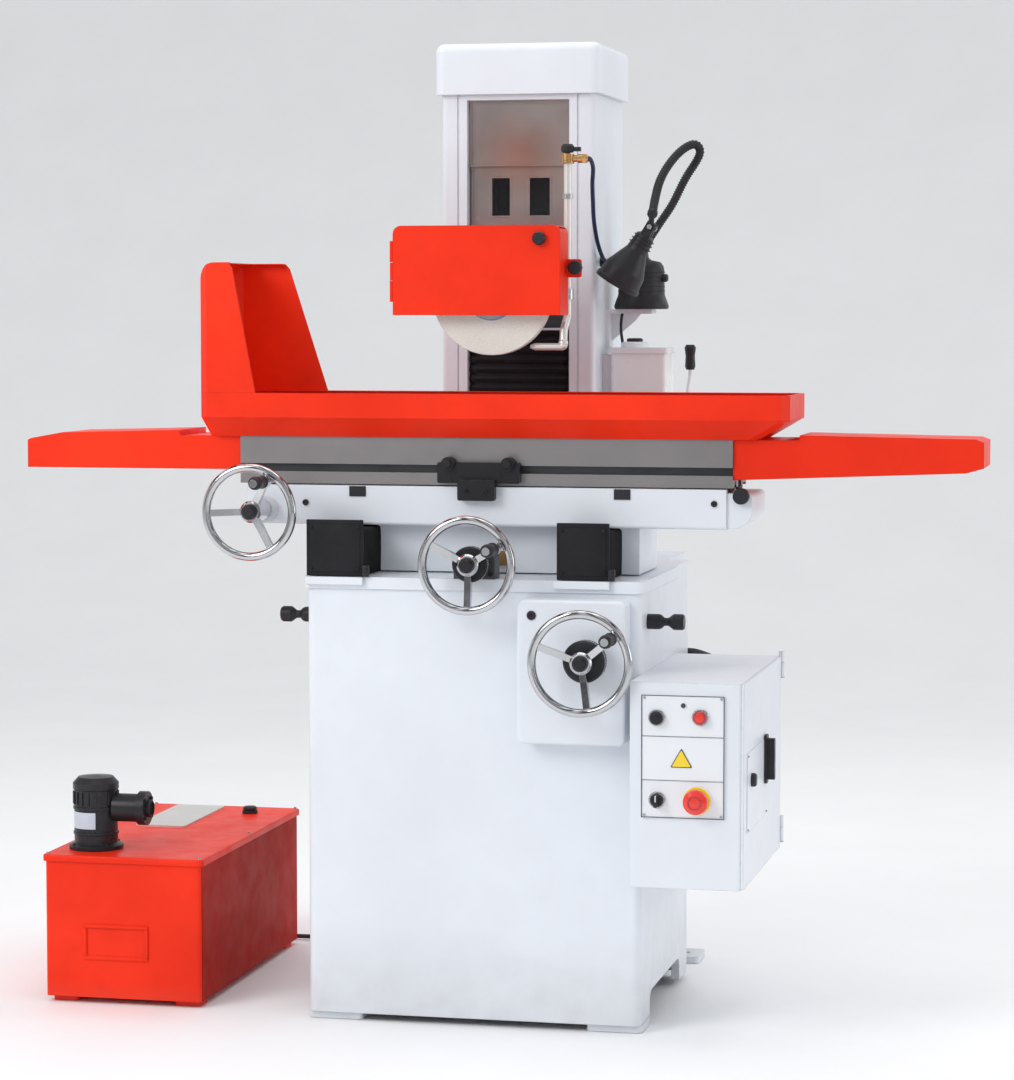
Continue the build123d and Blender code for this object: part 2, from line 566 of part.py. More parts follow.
# ---------------------------------------------------------------- handwheels and drives
def grip_centre(wheel):
    angle = math.radians(wheel.grip_angle)
    return (wheel.x + wheel.grip_radius * math.cos(angle),
            wheel.z + wheel.grip_radius * math.sin(angle))


def handwheel(wheel):
    """Dished three-spoke wheel on an axis along Y, with the pin of its grip."""
    x, y, z, bore, back = wheel.x, wheel.y, wheel.z, wheel.bore_r, wheel.hub_back
    rim_r = 7.0
    major = wheel.diameter / 2 - rim_r
    body = Pos(x, y, z) * Rot(90, 0, 0) * Torus(major, rim_r)
    body += turn_y(x, 0, z, [(bore, y + 2), (15, y + 2), (18, y + 6), (18, back - 3),
                             (16, back), (bore, back)])
    for angle in (0, 120, 240):
        # spoke section in the plane through the axis, swept sideways
        section = face_of([(12, 7, 0), (16, 20, 0), (30, 16, 0), (major, 3.5, 0),
                           (major, -3.5, 0), (30, 5, 0)])
        arm = Rot(0, -(wheel.grip_angle + angle), 0) * extrude(section, 5.5, both=True)
        body += Pos(x, y, z) * arm
    grip_x, grip_z = grip_centre(wheel)
    body += rod_y(y - 12, y + 6, grip_x, grip_z, 10)
    body += rod_y(y - 62, y - 11, grip_x, grip_z, 4) + rod_y(y - 65, y - 62, grip_x, grip_z, 6.5)
    return body


def grip(wheel):
    y, bore = wheel.y, 4 + RUN
    grip_x, grip_z = grip_centre(wheel)
    return turn_y(grip_x, 0, grip_z, [
        (bore, y - 61.9), (8, y - 61.9), (10.5, y - 58), (11, y - 50), (8.6, y - 34),
        (9.2, y - 22), (11, y - 17), (9, y - 12.2), (bore, y - 12.2)])


def hub_cap(wheel):
    """Cap screw over a handwheel hub."""
    return turn_y(wheel.x, wheel.y, wheel.z, [(0, -10), (8, -10), (12, -6), (13, 1.9), (0, 1.9)])


def table_wheel_cap():
    return hub_cap(HANDWHEELS["table"])


def cross_dial():
    bore, back = CROSS_SCREW_R, -22 - RUN
    dial = turn_y(CROSS_X, 0, CROSS_Z, [(bore, -40), (27, -40), (29, -38), (29, -24),
                                        (27, back), (bore, back)])
    return dial, hub_cap(HANDWHEELS["cross"])


def vertical_dial():
    back = -58 - RUN
    dial = turn_y(FEED_X, 0, FEED_Z, [(SHAFT_R, -82), (31, -82), (34, -79), (34, -62),
                                      (32, back), (SHAFT_R, back)])
    return dial, hub_cap(HANDWHEELS["vertical"])


def table_drive_shaft():
    shaft = rod_y(-18, 128, DRIVE_X, DRIVE_Z, SHAFT_R)
    shaft = shaft + pulley(DRIVE_X, DRIVE_Z, SMALL_PULLEY_R, SMALL_TEETH)
    shaft += rod_y(PULLEY_Y0 - 4, PULLEY_Y0, DRIVE_X, DRIVE_Z, SMALL_PULLEY_R + 1.2)
    return shaft


def pinion_shaft():
    shaft = rod_y(82, 186, PINION_X, PINION_Z, SHAFT_R)
    shaft = shaft + pulley(PINION_X, PINION_Z, LARGE_PULLEY_R, LARGE_TEETH)
    pinion = extrude(face_of(pinion_outline()), 20)
    # the gear is stood up so that its +X tooth points up, towards the rack
    shaft += Pos(PINION_X, 145, PINION_Z) * Rot(-90, 0, 0) * Rot(0, 0, -90) * pinion
    return shaft


def cross_screw():
    """Plain screw with a collar behind the front bearing block."""
    return (rod_y(-58, 255, CROSS_X, CROSS_Z, CROSS_SCREW_R)
            + rod_y(30 + RUN, 35, CROSS_X, CROSS_Z, 16))


def vertical_feed_shaft():
    shaft = rod_y(-108, LIFT_Y - MITER_R, FEED_X, FEED_Z, SHAFT_R)
    shaft += Pos(FEED_X, LIFT_Y, FEED_Z) * Rot(90, 0, 0) * miter_gear()
    return shaft


def transverse_shaft():
    """Its right gear meets the feed shaft, its left gear the elevating screw."""
    right = Pos(FEED_X, LIFT_Y, FEED_Z) * Rot(0, -90, 0) * Rot(0, 0, HALF_TOOTH) * miter_gear()
    left = Pos(0, LIFT_Y, FEED_Z) * Rot(0, 90, 0) * miter_gear()
    return rod_x(MITER_R, FEED_X - MITER_R, LIFT_Y, FEED_Z, SHAFT_R) + right + left


def elevating_screw():
    screw = Pos(0, LIFT_Y, FEED_Z) * Rot(0, 0, HALF_TOOTH) * miter_gear()
    for z0, z1, radius in ((FEED_Z + MITER_R, 640, SHAFT_R), (639, 1215, LIFT_SCREW_R),
                           (COLLAR_Z0 + RUN, 700, LIFT_COLLAR_R)):
        screw = screw + rod_z(z0, z1, 0, LIFT_Y, radius)
    return screw


# ---------------------------------------------------------------- head
def head_casting():
    half, tongue = OPEN_HALF_W - RUN, TONGUE_HALF_W - RUN
    head = block(-half, half, 375, 425, 1080, 1300)
    head += block(-tongue, tongue, TONGUE_Y0, TONGUE_Y1, 1080, 1300)
    # spindle barrel
    head += rod_y(206, 376, 0, SPINDLE_Z, HEAD_BARREL_R) + rod_y(195, 206, 0, SPINDLE_Z, 50)
    # rear arm and its boss on the elevating screw
    head += block(-34, 34, 424, 560, 1082, 1114)
    head += rod_z(1074, 1120, 0, LIFT_Y, 22)
    head -= rod_z(1070, 1125, 0, LIFT_Y, LIFT_SCREW_R + RUN)
    head -= rod_y(194, 430, 0, SPINDLE_Z, 25 + RUN)
    # ledge above the column way cover
    head += block(-86, 86, 352, 376, 1132, 1136) - rod_y(340, 380, 0, SPINDLE_Z, 54)
    return head


def spindle_motor():
    fins = 24
    motor = rod_y(432, 535, 0, SPINDLE_Z, 68) + rod_y(425, 432, 0, SPINDLE_Z, 62)
    motor -= rod_y(424, 520, 0, SPINDLE_Z, 14)
    for i in range(fins):
        motor += Pos(0, 483, SPINDLE_Z) * Rot(0, 360 * i / fins, 0) * block(67, 71, -38, 38, -1.5, 1.5)
    return motor


def head_way_shield():
    y0, y1, z0, z1 = 362.5, 364.5, 1328, 1392
    shield = block(-86, 86, y0, y1, 1302, 1520)
    for x0, x1 in ((-49, -18), (17, 52)):
        shield -= block(x0, x1, 360, 366, z0, z1)
        # folded frame round each window
        frame = block(x0 - 3, x1 + 3, 361.2, y0, z0 - 3, z1 + 3) - block(x0, x1, 360, 364, z0, z1)
        shield += frame
    for side in (-1, 1):
        shield += block(*span(side, 66, 84), y0, 378, 1300, 1304)
    return shield


def wheel_guard():
    """A box open at the front and below."""
    guard = block(-160, 122, 118, 176, WHEEL_GUARD_Z0, WHEEL_GUARD_TOP)
    guard = soften(guard, Axis.Y, 14, lambda c: c.Z > 1290)
    guard -= block(-157, 119, 117, 172, WHEEL_GUARD_Z0 - 1, WHEEL_GUARD_TOP - 3)
    guard -= rod_y(170, 178, 0, SPINDLE_Z, 26)
    guard += rod_y(176, 195, 0, SPINDLE_Z, 44) - rod_y(175, 196, 0, SPINDLE_Z, 27)
    # hinge knuckles
    for z0, z1 in ((1180, 1214.5), (1245.5, 1280)):
        guard += rod_z(z0, z1, HINGE_X, 118, 3.5) + block(HINGE_X, -159, 118, 121, z0, z1)
    # tab on the right side
    guard += soften(block(121, 146, 166, 172, 1220, 1250), Axis.Y, 4, lambda c: c.X > 130)
    return guard


def guard_cover():
    cover = block(-160, 122, 110, 118, WHEEL_GUARD_Z0, WHEEL_GUARD_TOP)
    cover = soften(cover, Axis.Y, 14, lambda c: c.Z > 1290)
    hollow = block(-157, 119, 113, 119, 1150, WHEEL_GUARD_TOP - 3)
    cover -= soften(hollow, Axis.Y, 11, lambda c: c.Z > 1290)
    cover += block(HINGE_X, -158.5, 115.5, 117.5, 1217, 1243) + rod_z(1215, 1244.5, HINGE_X, 118, 3.2)
    cover -= rod_y(108, 115, KNOB_X, KNOB_Z, 5)
    knob = turn_y(KNOB_X, 0, KNOB_Z, [(0, 98), (9, 98), (11, 101), (11, 106), (7, 110),
                                      (5, 110), (5, 113.5), (0, 113.5)])
    return cover, knob


def wheel_spindle():
    """Spindle, wheel flanges and nut turned in one piece; the profile is (radius, y)."""
    seat_r = 15.85
    return turn_y(0, 0, SPINDLE_Z, [
        (0, 115), (9, 115), (9, 126), (15, 126), (15, 128), (40, 128), (40, 134), (36, 140),
        (seat_r, 140), (seat_r, 160), (36, 160), (40, 166), (40, 170), (20, 170), (20, 200),
        (25, 200), (25, 424), (12, 424), (12, 500), (0, 500)])


def grinding_wheel():
    bore_r = WHEEL_BORE / 2
    return turn_y(0, WHEEL_Y - WHEEL_W / 2, SPINDLE_Z, [
        (bore_r, 0), (WHEEL_R - 1, 0), (WHEEL_R, 1), (WHEEL_R, WHEEL_W - 1),
        (WHEEL_R - 1, WHEEL_W), (bore_r, WHEEL_W)])


def coolant_pipe():
    x, y, radius = PIPE_X, PIPE_Y, 6.5
    pipe = rod_z(1166, 1408, x, y, radius)
    # cranked lower end with its nozzle
    line = Polyline((x, y, 1168), (x, y, 1156), (x, 166, 1134), (x, 162, 1112))
    pipe += sweep(Plane((x, y, 1168), z_dir=(0, 0, -1)) * Circle(radius), path=line,
                  transition=Transition.ROUND)
    pipe += Pos(x, 162, 1112) * Sphere(8)
    nozzle = rod_x(70, x, 160, 1106, 6) + Pos(x, 161, 1108) * Sphere(7)
    nozzle += turn_x(0, 160, 1106, [(0, 62), (3.2, 62), (6, 70), (6, 72), (0, 72)])
    pipe += nozzle
    # bracket to the spindle barrel and two collars
    pipe += block(48, 112, 200, 210, 1186, 1200) + rod_z(1184, 1202, x, y, 10) + rod_z(1350, 1358, x, y, 9)
    pipe -= rod_y(190, 250, 0, SPINDLE_Z, HEAD_BARREL_R + 0.02)
    valve = rod_z(1408, 1424, x, y, 11) + rod_x(x + 5, x + 24, y, 1416, 5.5)
    valve += rod_x(x + 18, x + 25, y, 1416, 7.5)
    valve -= rod_z(1412, 1425, x, y, 4 + RUN)
    return pipe, valve


def valve_knob():
    x, y = PIPE_X, PIPE_Y
    cap = turn_z(x, y, 0, [(0, 1426), (9, 1426), (11, 1429), (11, 1436), (8, 1440), (0, 1440)])
    return rod_z(1413, 1426, x, y, 4) + cap + block(x - 3, x + 22, y - 4, y + 4, 1428, 1435)


# ---------------------------------------------------------------- work lamp
def lamp_bracket():
    x, y, face, top = LAMP_X, LAMP_Y, COL_HALF_W, LAMP_BASE_Z
    bracket = (block(face, face + 6, y - 26, y + 26, 1100, top)
               + block(face, x + 22, y - 22, y + 22, top - 8, top))
    # gusset below the shelf, then the peg of the lamp base
    bracket += prism_y(y - 3, y + 3, [(face + 5, 1112), (face + 5, 1161), (x, 1161), (x - 8, 1150)])
    bracket += rod_z(top - 1, 1200, x, y, 8)
    return bracket


NECK_POINTS = [                   # x, y, z from the base up and over to the lamp head
    (LAMP_X, LAMP_Y, 1258), (194, 470, 1270), (208, 468, 1292), (226, 464, 1318),
    (248, 458, 1349), (271, 450, 1391), (296, 440, 1428), (298, 433, 1444), (288, 424, 1449),
    (270, 410, 1437), (252, 394, 1413), (240, 378, 1386), (236, 355, 1356), (234.6, 333, 1326)]


def lamp_base():
    bore, seat = 8 + RUN, LAMP_BASE_Z + RUN
    base = turn_z(LAMP_X, LAMP_Y, 0, [
        (bore, seat), (46, seat), (47, 1176), (41, 1190), (39, 1240), (34, 1250), (16, 1254),
        (10, 1258), (0, 1258), (0, 1202), (bore, 1202)])
    line = Spline(*NECK_POINTS, tangents=((0, 0, 1), (0.0, -0.35, -1)))
    neck = sweep(Plane(NECK_POINTS[0], z_dir=(0, 0, 1)) * Circle(6.5), path=line)
    # stub and eye that carry the lamp head
    x, _, z = LAMP_PIVOT
    neck += Plane(origin=LAMP_PIVOT, z_dir=(1, 0, 12), x_dir=(0, 1, 0)) * rod_z(0, 25, 0, 0, 4.4)
    neck += rod_y(325, 335, x, z, 9)
    neck -= rod_y(320, 340, x, z, 3 + RUN)
    return base, neck


def lamp_head():
    """Cone shade on a forked collar, its axis down and to the left."""
    aim = Vector(-59, 0, -97).normalized()
    frame = Plane(origin=LAMP_PIVOT, z_dir=(aim.X, aim.Y, aim.Z), x_dir=(0, 1, 0))
    shade = turn_z(0, 0, 0, [
        (10.5, 14), (16, 18), (19, 46), (36, 84), (39, 112), (36.5, 112), (33.5, 86),
        (16, 49), (0, 46), (0, 12), (10.5, 12)])
    fork = (block(-13, -5.1, -8, 8, -8, 16) + block(5.1, 13, -8, 8, -8, 16)
            + Rot(0, 90, 0) * Cylinder(3, 26))
    return frame * (shade + fork)


# ---------------------------------------------------------------- lubricator
def lubricator():
    tank = soften(block(150, 248, 402, 478, 945, 1092), Axis.Z, 8)
    tank -= block(153, 245, 405, 475, 948, 1088)
    tank += block(COL_HALF_W, 151, 420, 460, 960, 1090)
    lid = soften(block(146, 252, 398, 482, 1092, 1102), Axis.Z, 8)
    lid = lid + turn_z(186, LUBE_Y, 0, [(0, 1101), (24, 1101), (24, 1109), (20, 1112), (0, 1112)])
    # lever bearing on the right side
    lid += (block(248, 262, 428, 452, 975, 1000) + rod_x(255, 268, LUBE_Y, 987, 6)
            - rod_x(254, 280, LUBE_Y, 987, 2))
    return tank, lid


def lubricator_lever():
    y = LUBE_Y
    lever = rod_x(268 + RUN, 278, y, 987, 8) + rod_x(258, 270, y, 987, 2 - RUN)
    line = Polyline((273, y, 990), (283, y, 1055), (283, y, 1064))
    lever += sweep(Plane((273, y, 990), z_dir=(10, 0, 65)) * Circle(3), path=line,
                   transition=Transition.ROUND)
    knob = turn_z(283, y, 0, [(0, 1064), (7, 1064), (9, 1070), (8, 1088), (10, 1102),
                              (7, 1107), (0, 1107)])
    return lever, knob


# ---------------------------------------------------------------- electrical box
def electrical_box():
    x0, x1, y0, y1, z0, z1 = ELEC_X0, ELEC_X1, ELEC_Y0, ELEC_Y1, ELEC_Z0, ELEC_Z1
    box = soften(block(x0, x1, y0, y1, z0, z1), Axis.Z, 5, lambda c: c.X > 400 and c.Y < 0)
    box -= block(x0 + 3, x1 + 1, y0 + 3, y1 - 3, z0 + 3, z1 - 3)
    # door frame flange
    box += (block(x1 - 6, x1, y0 + 2, y1 - 2, z0 + 2, z1 - 2)
            - block(x1 - 7, x1 + 1, y0 + 18, y1 - 18, z0 + 18, z1 - 18))
    for x, z in CONTROLS_XZ:
        box -= rod_y(y0 - 1, y0 + 4, x, z, 12)
    for z in DOOR_HINGE_ZS:
        box += (rod_z(z - 12, z + 12, DOOR_HINGE_X, DOOR_HINGE_Y, 4)
                + block(x1 - 3, x1 + 2, y1 - 3, y1 + 2, z - 12, z + 12))
    return box


def electrical_door():
    x, y1 = ELEC_X1, ELEC_Y1
    door = soften(block(x, x + 4, ELEC_Y0 + 2, y1 - 4, ELEC_Z0 + 1, ELEC_Z1 - 1), Axis.X, 5)
    for z in DOOR_HINGE_ZS:
        door += (rod_z(z + 12.3, z + 32, DOOR_HINGE_X, DOOR_HINGE_Y, 4)
                 + block(x + 0.2, x + 4, y1 - 6, y1 + 1, z + 12.3, z + 32))
    # raised plate
    door += (soften(block(x + 3.5, x + 5, -64, 150, 343, 470), Axis.X, 3)
             - rod_x(x + 3, x + 6, 154, 436, 6))
    handle = soften(block(x + 5, x + 9, 120, 148, 396, 476), Axis.X, 8)
    handle = handle + soften(block(x + 9, x + 21, 127, 141, 402, 470), Axis.X, 5)
    handle += turn_x(x + 4, -19, 423, [(0, 0), (0, 9), (9, 9), (11, 6), (11, 0)])
    return door, handle


def control_panel():
    panel = soften(block(296, 430, -102, -99, 370, 565), Axis.Y, 3)
    for z0, z1 in ((370, 371), (429, 431), (498.5, 500.5), (563, 565)):
        panel += block(296, 430, -103, -101.5, z0, z1)
    for (x, z), bezel_r in zip(CONTROLS_XZ, (13, 13, 13, 24)):
        panel += rod_y(-104.5, -101, x, z, bezel_r)
        panel -= rod_y(-106, -98, x, z, 8 + RUN)
    panel += turn_y(364, -104.5, 549, [(0, 0), (4, 0), (5, 1.5), (5, 3), (0, 3)])
    return panel


def plunger(x, z, tip_y):
    """The stem passes the panel; the wider cap stays in front of its bezel."""
    return turn_y(x, 0, z, [(0, tip_y), (8.5, tip_y), (10.5, tip_y + 2), (10.5, -108.8),
                            (8, -108.8), (8, -90), (0, -90)])


def start_button():
    return plunger(*START_XZ, -114)


def stop_button():
    return plunger(*STOP_XZ, -114)


def selector_switch():
    x, z = SELECTOR_XZ
    bar = soften(block(x - 3, x + 3, -122, -112, z - 10, z + 10), Axis.Y, 2)
    return plunger(x, z, -113) + bar


def emergency_stop():
    x, z = EMERGENCY_XZ
    return turn_y(x, 0, z, [(0, -130), (12, -129), (19, -124), (20, -118), (17, -114),
                            (10, -112), (8, -110), (8, -90), (0, -90)])


# ---------------------------------------------------------------- coolant tank, on the floor at the left
def coolant_tank():
    x0, x1, y0, y1, top = TANK_X0, TANK_X1, TANK_Y0, TANK_Y1, TANK_TOP
    tank = soften(block(x0 + 4, x1 - 4, y0 + 4, y1 - 4, 10, top), Axis.Z, 8)
    tank -= block(x0 + 7, x1 - 7, y0 + 7, y1 - 7, 13, top + 1)
    # raised frame on the front
    tank += block(-679, -566, y0 + 2, y0 + 5, 76, 134) - block(-673, -572, y0 + 1, y0 + 4, 82, 128)
    for x in (x0 + 34, x1 - 34):
        for y in (y0 + 40, y1 - 40):
            tank += soften(block(x - 22, x + 22, y - 22, y + 22, 0, 11), Axis.Z, 6)
    lid = soften(block(x0, x1, y0, y1, top, top + 11), Axis.Z, 10)
    lid = soften(lid, None, 3, lambda c: c.Z > top + 10.9)
    lid -= rod_z(top - 1, top + 12, PUMP_X, PUMP_Y, 30)
    lid += soften(block(-697, -606, 345, 585, top + 10, top + 14), Axis.Z, 6)
    lid += rod_z(top + 10, top + 17, -541, 528, 14)
    return tank, lid


def coolant_pump():
    pump = turn_z(PUMP_X, PUMP_Y, 0, [(0, 251), (46, 251), (46, 258), (37, 262), (37, 352),
                                      (39, 354), (39, 364), (30, 374), (0, 376)])
    pump += rod_x(-650, -606, PUMP_Y, 322, 24) + rod_x(-606, -592, PUMP_Y, 322, 29)
    pump += rod_z(60, 252, PUMP_X, PUMP_Y, 24)
    return pump


# ---------------------------------------------------------------- folded way covers
def saddle_way_cover(x0, x1):
    """Cover folded on its top and both sides, with a plain front end plate."""
    z0, z1, length, depth, steps = BASE_TOP + 1, 812.0, 109.5, 4, 18
    folds = [(depth if i % 2 else 0, length * i / steps) for i in range(steps + 1)]
    cover = prism_x(x0, x1, [(0, z0)] + [(y, z1 - dip) for dip, y in folds] + [(length, z0)])
    for inward, x in ((1, x0), (-1, x1)):
        outside = x - inward
        cover -= prism_z(z0 - 1, z1 + 1, [(outside, 0)] + [(x + inward * dip, y) for dip, y in folds]
                         + [(outside, length)])
    cover -= block(x0 + 8, x1 - 8, -1, length + 1, z0 - 1, z1 - 8)
    return cover + block(x0, x1, -6, 1, z0, z1) - block(x0 + 8, x1 - 8, 0.5, 2, z0 - 1, z1 - 8)


def saddle_way_covers():
    return [saddle_way_cover(x0, x1) for x0, x1 in ((-275, -181), (142, 226))]


def column_way_cover():
    """Folded cover over the column ways below the head."""
    z0, z1, depth, steps = OPEN_Z0 + 1, 1131.5, 7, 32
    folds = [(depth if i % 2 else 0, z0 + (z1 - z0) * i / steps) for i in range(steps + 1)]
    front = [(354 + dip, z) for dip, z in folds]
    back = [(358 + dip, z) for dip, z in reversed(folds)]
    return prism_x(-86, 86, front + back)


# ---------------------------------------------------------------- build; each file is named after its function
for build in (
        base_casting, levelling_pads, lifting_bollards, elevating_gearbox, cross_ways,
        bearing_blocks, column, column_cap, column_covers, saddle, cross_nut, saddle_plugs,
        drive_belt, table, table_rack, stop_bracket, splash_tray, left_splash_guard, table_wings,
        table_wheel_cap, cross_dial, vertical_dial, table_drive_shaft, pinion_shaft, cross_screw,
        vertical_feed_shaft, transverse_shaft, elevating_screw, head_casting, spindle_motor,
        head_way_shield, wheel_guard, guard_cover, wheel_spindle, grinding_wheel, coolant_pipe,
        valve_knob, lamp_bracket, lamp_base, lamp_head, lubricator, lubricator_lever,
        electrical_box, electrical_door, control_panel, start_button, stop_button,
        selector_switch, emergency_stop, coolant_tank, coolant_pump, saddle_way_covers,
        column_way_cover):
    save(build.__name__, build())

for name, wheel in HANDWHEELS.items():
    save(f"{name}_handwheel", handwheel(wheel))
    save(f"{name}_grip", grip(wheel))
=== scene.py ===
# A surface grinding machine: white cast base and column, a head with the grinding wheel over a
# long table in a red splash tray, handwheels and control panel at the front, the electrical box
# on the right and the coolant tank on the left. The operator's side faces -Y, +X is to the
# right seen from there and +Z is up from the floor.
# Places are in mm with y counted from the front face of the base, unless metres are named.
import math
import random
from itertools import product

import bmesh
import bpy
from mathutils import Matrix, Vector


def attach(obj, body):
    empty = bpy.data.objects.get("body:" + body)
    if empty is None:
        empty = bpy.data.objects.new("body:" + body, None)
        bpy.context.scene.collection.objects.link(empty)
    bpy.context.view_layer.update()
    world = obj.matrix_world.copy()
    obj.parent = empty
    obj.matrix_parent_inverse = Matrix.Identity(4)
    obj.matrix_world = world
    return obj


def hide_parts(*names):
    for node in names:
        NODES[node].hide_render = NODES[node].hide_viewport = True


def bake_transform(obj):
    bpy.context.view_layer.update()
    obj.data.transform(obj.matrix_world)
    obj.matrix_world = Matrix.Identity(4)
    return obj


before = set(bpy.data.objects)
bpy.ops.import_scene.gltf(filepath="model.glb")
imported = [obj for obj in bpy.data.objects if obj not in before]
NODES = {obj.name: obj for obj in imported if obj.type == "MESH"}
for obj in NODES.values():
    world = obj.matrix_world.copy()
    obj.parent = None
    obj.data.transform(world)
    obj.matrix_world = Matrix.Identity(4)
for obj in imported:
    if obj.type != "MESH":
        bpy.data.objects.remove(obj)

random.seed(7)  # kept fixed, though nothing below draws from it
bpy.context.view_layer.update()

# ------------------------------------------------------------------ driving places
ORIGIN_Y = 330  # how far the frame's origin lies behind the front face of the base
LEFT_BELLOWS = (-275, -181)  # x spans of the two saddle covers
RIGHT_BELLOWS = (142, 226)
LAMP_X, LAMP_Y = 192, 470  # axis of the lamp foot
TILT_X, TILT_Y, TILT_Z = TILT = (233, 330, 1306)  # tilt joint of the lamp shade
SHADE_AXIS = (-59, 0, -97)
PANEL_FACE_Y = -104.4
START, STOP = (322, 529), (391, 531)  # x, z on the control panel
SELECTOR, EMERGENCY = (323, 399), (386, 399)
WHEEL_Z = 1192  # height of the grinding spindle, at x = 0
PUMP_X, PUMP_Y = -685, 110  # vertical axis of the coolant pump
PUMP_COVER_X, PUMP_COVER_Z = -592, 322  # cover disc to the right of the pump
KNOB_X, KNOB_Z = 138, 1236  # knob on the guard tab
CONDUIT_BOX_END, CONDUIT_COLUMN_END = (340, 331, 540), (240, 505, 566)

FRONT, BACK, RIGHT, UP = (0, -1, 0), (0, 1, 0), (1, 0, 0), (0, 0, 1)


def place(x, y, z):
    """A point in mm from the base front, as metres in the frame."""
    return Vector((x / 1000, (y - ORIGIN_Y) / 1000, z / 1000))


def in_mm(point):
    """The reverse of place()."""
    return point.x * 1000, point.y * 1000 + ORIGIN_Y, point.z * 1000


# ------------------------------------------------------------------ materials
class Nodes:
    """An emptied node tree with short ways to add nodes; a socket given as input is linked."""

    def __init__(self, owner):
        owner.use_nodes = True
        self.tree = owner.node_tree
        self.tree.nodes.clear()

    def add(self, kind, inputs=None, **settings):
        made = self.tree.nodes.new("ShaderNode" + kind)
        for key, value in settings.items():
            setattr(made, key, value)
        for key, value in (inputs or {}).items():
            if isinstance(value, bpy.types.NodeSocket):
                self.tree.links.new(value, made.inputs[key])
            else:
                made.inputs[key].default_value = value
        return made

    def math(self, operation, *values):
        return self.add("Math", dict(enumerate(values)), operation=operation).outputs[0]

    def remap(self, value, low, high, to_low=0.0, to_high=1.0):
        return self.add("MapRange", {
            "Value": value, "From Min": low, "From Max": high,
            "To Min": to_low, "To Max": to_high}).outputs["Result"]

    def blend(self, factor, first, second):
        """Mix of two colours, each a socket or an RGB tuple."""
        colours = [(*c, 1.0) if isinstance(c, tuple) else c for c in (first, second)]
        # sockets 0, 6 and 7 are the factor and the two colours of an RGBA mix
        inputs = {0: factor, 6: colours[0], 7: colours[1]}
        return self.add("Mix", inputs, data_type="RGBA").outputs[2]

    def noise(self, coords, scale, detail, roughness=0.55, stretch=None):
        if stretch:
            coords = self.add("Mapping", {"Vector": coords, "Scale": stretch}).outputs["Vector"]
        return self.add("TexNoise", {
            "Vector": coords, "Scale": scale, "Detail": detail,
            "Roughness": roughness}).outputs["Fac"]


def painted_reflection_strength(nodes, coords, centre, radii, amount):
    """Strength of a ragged oval patch of painted reflection; centre and radii are x, z in metres.
    """
    xyz = nodes.add("SeparateXYZ", {0: coords}).outputs
    squares = []
    for axis, middle, radius in zip("XZ", centre, radii):
        away = nodes.math("MULTIPLY", nodes.math("SUBTRACT", xyz[axis], middle), 1.0 / radius)
        squares.append(nodes.math("MULTIPLY", away, away))
    distance = nodes.math("SQRT", nodes.math("ADD", *squares))
    ragged = nodes.remap(nodes.noise(coords, scale=14.0, detail=3.0), 0.3, 0.7, -0.15, 0.15)
    return nodes.remap(nodes.math("ADD", distance, ragged), 0.15, 1.25, amount, 0.0)


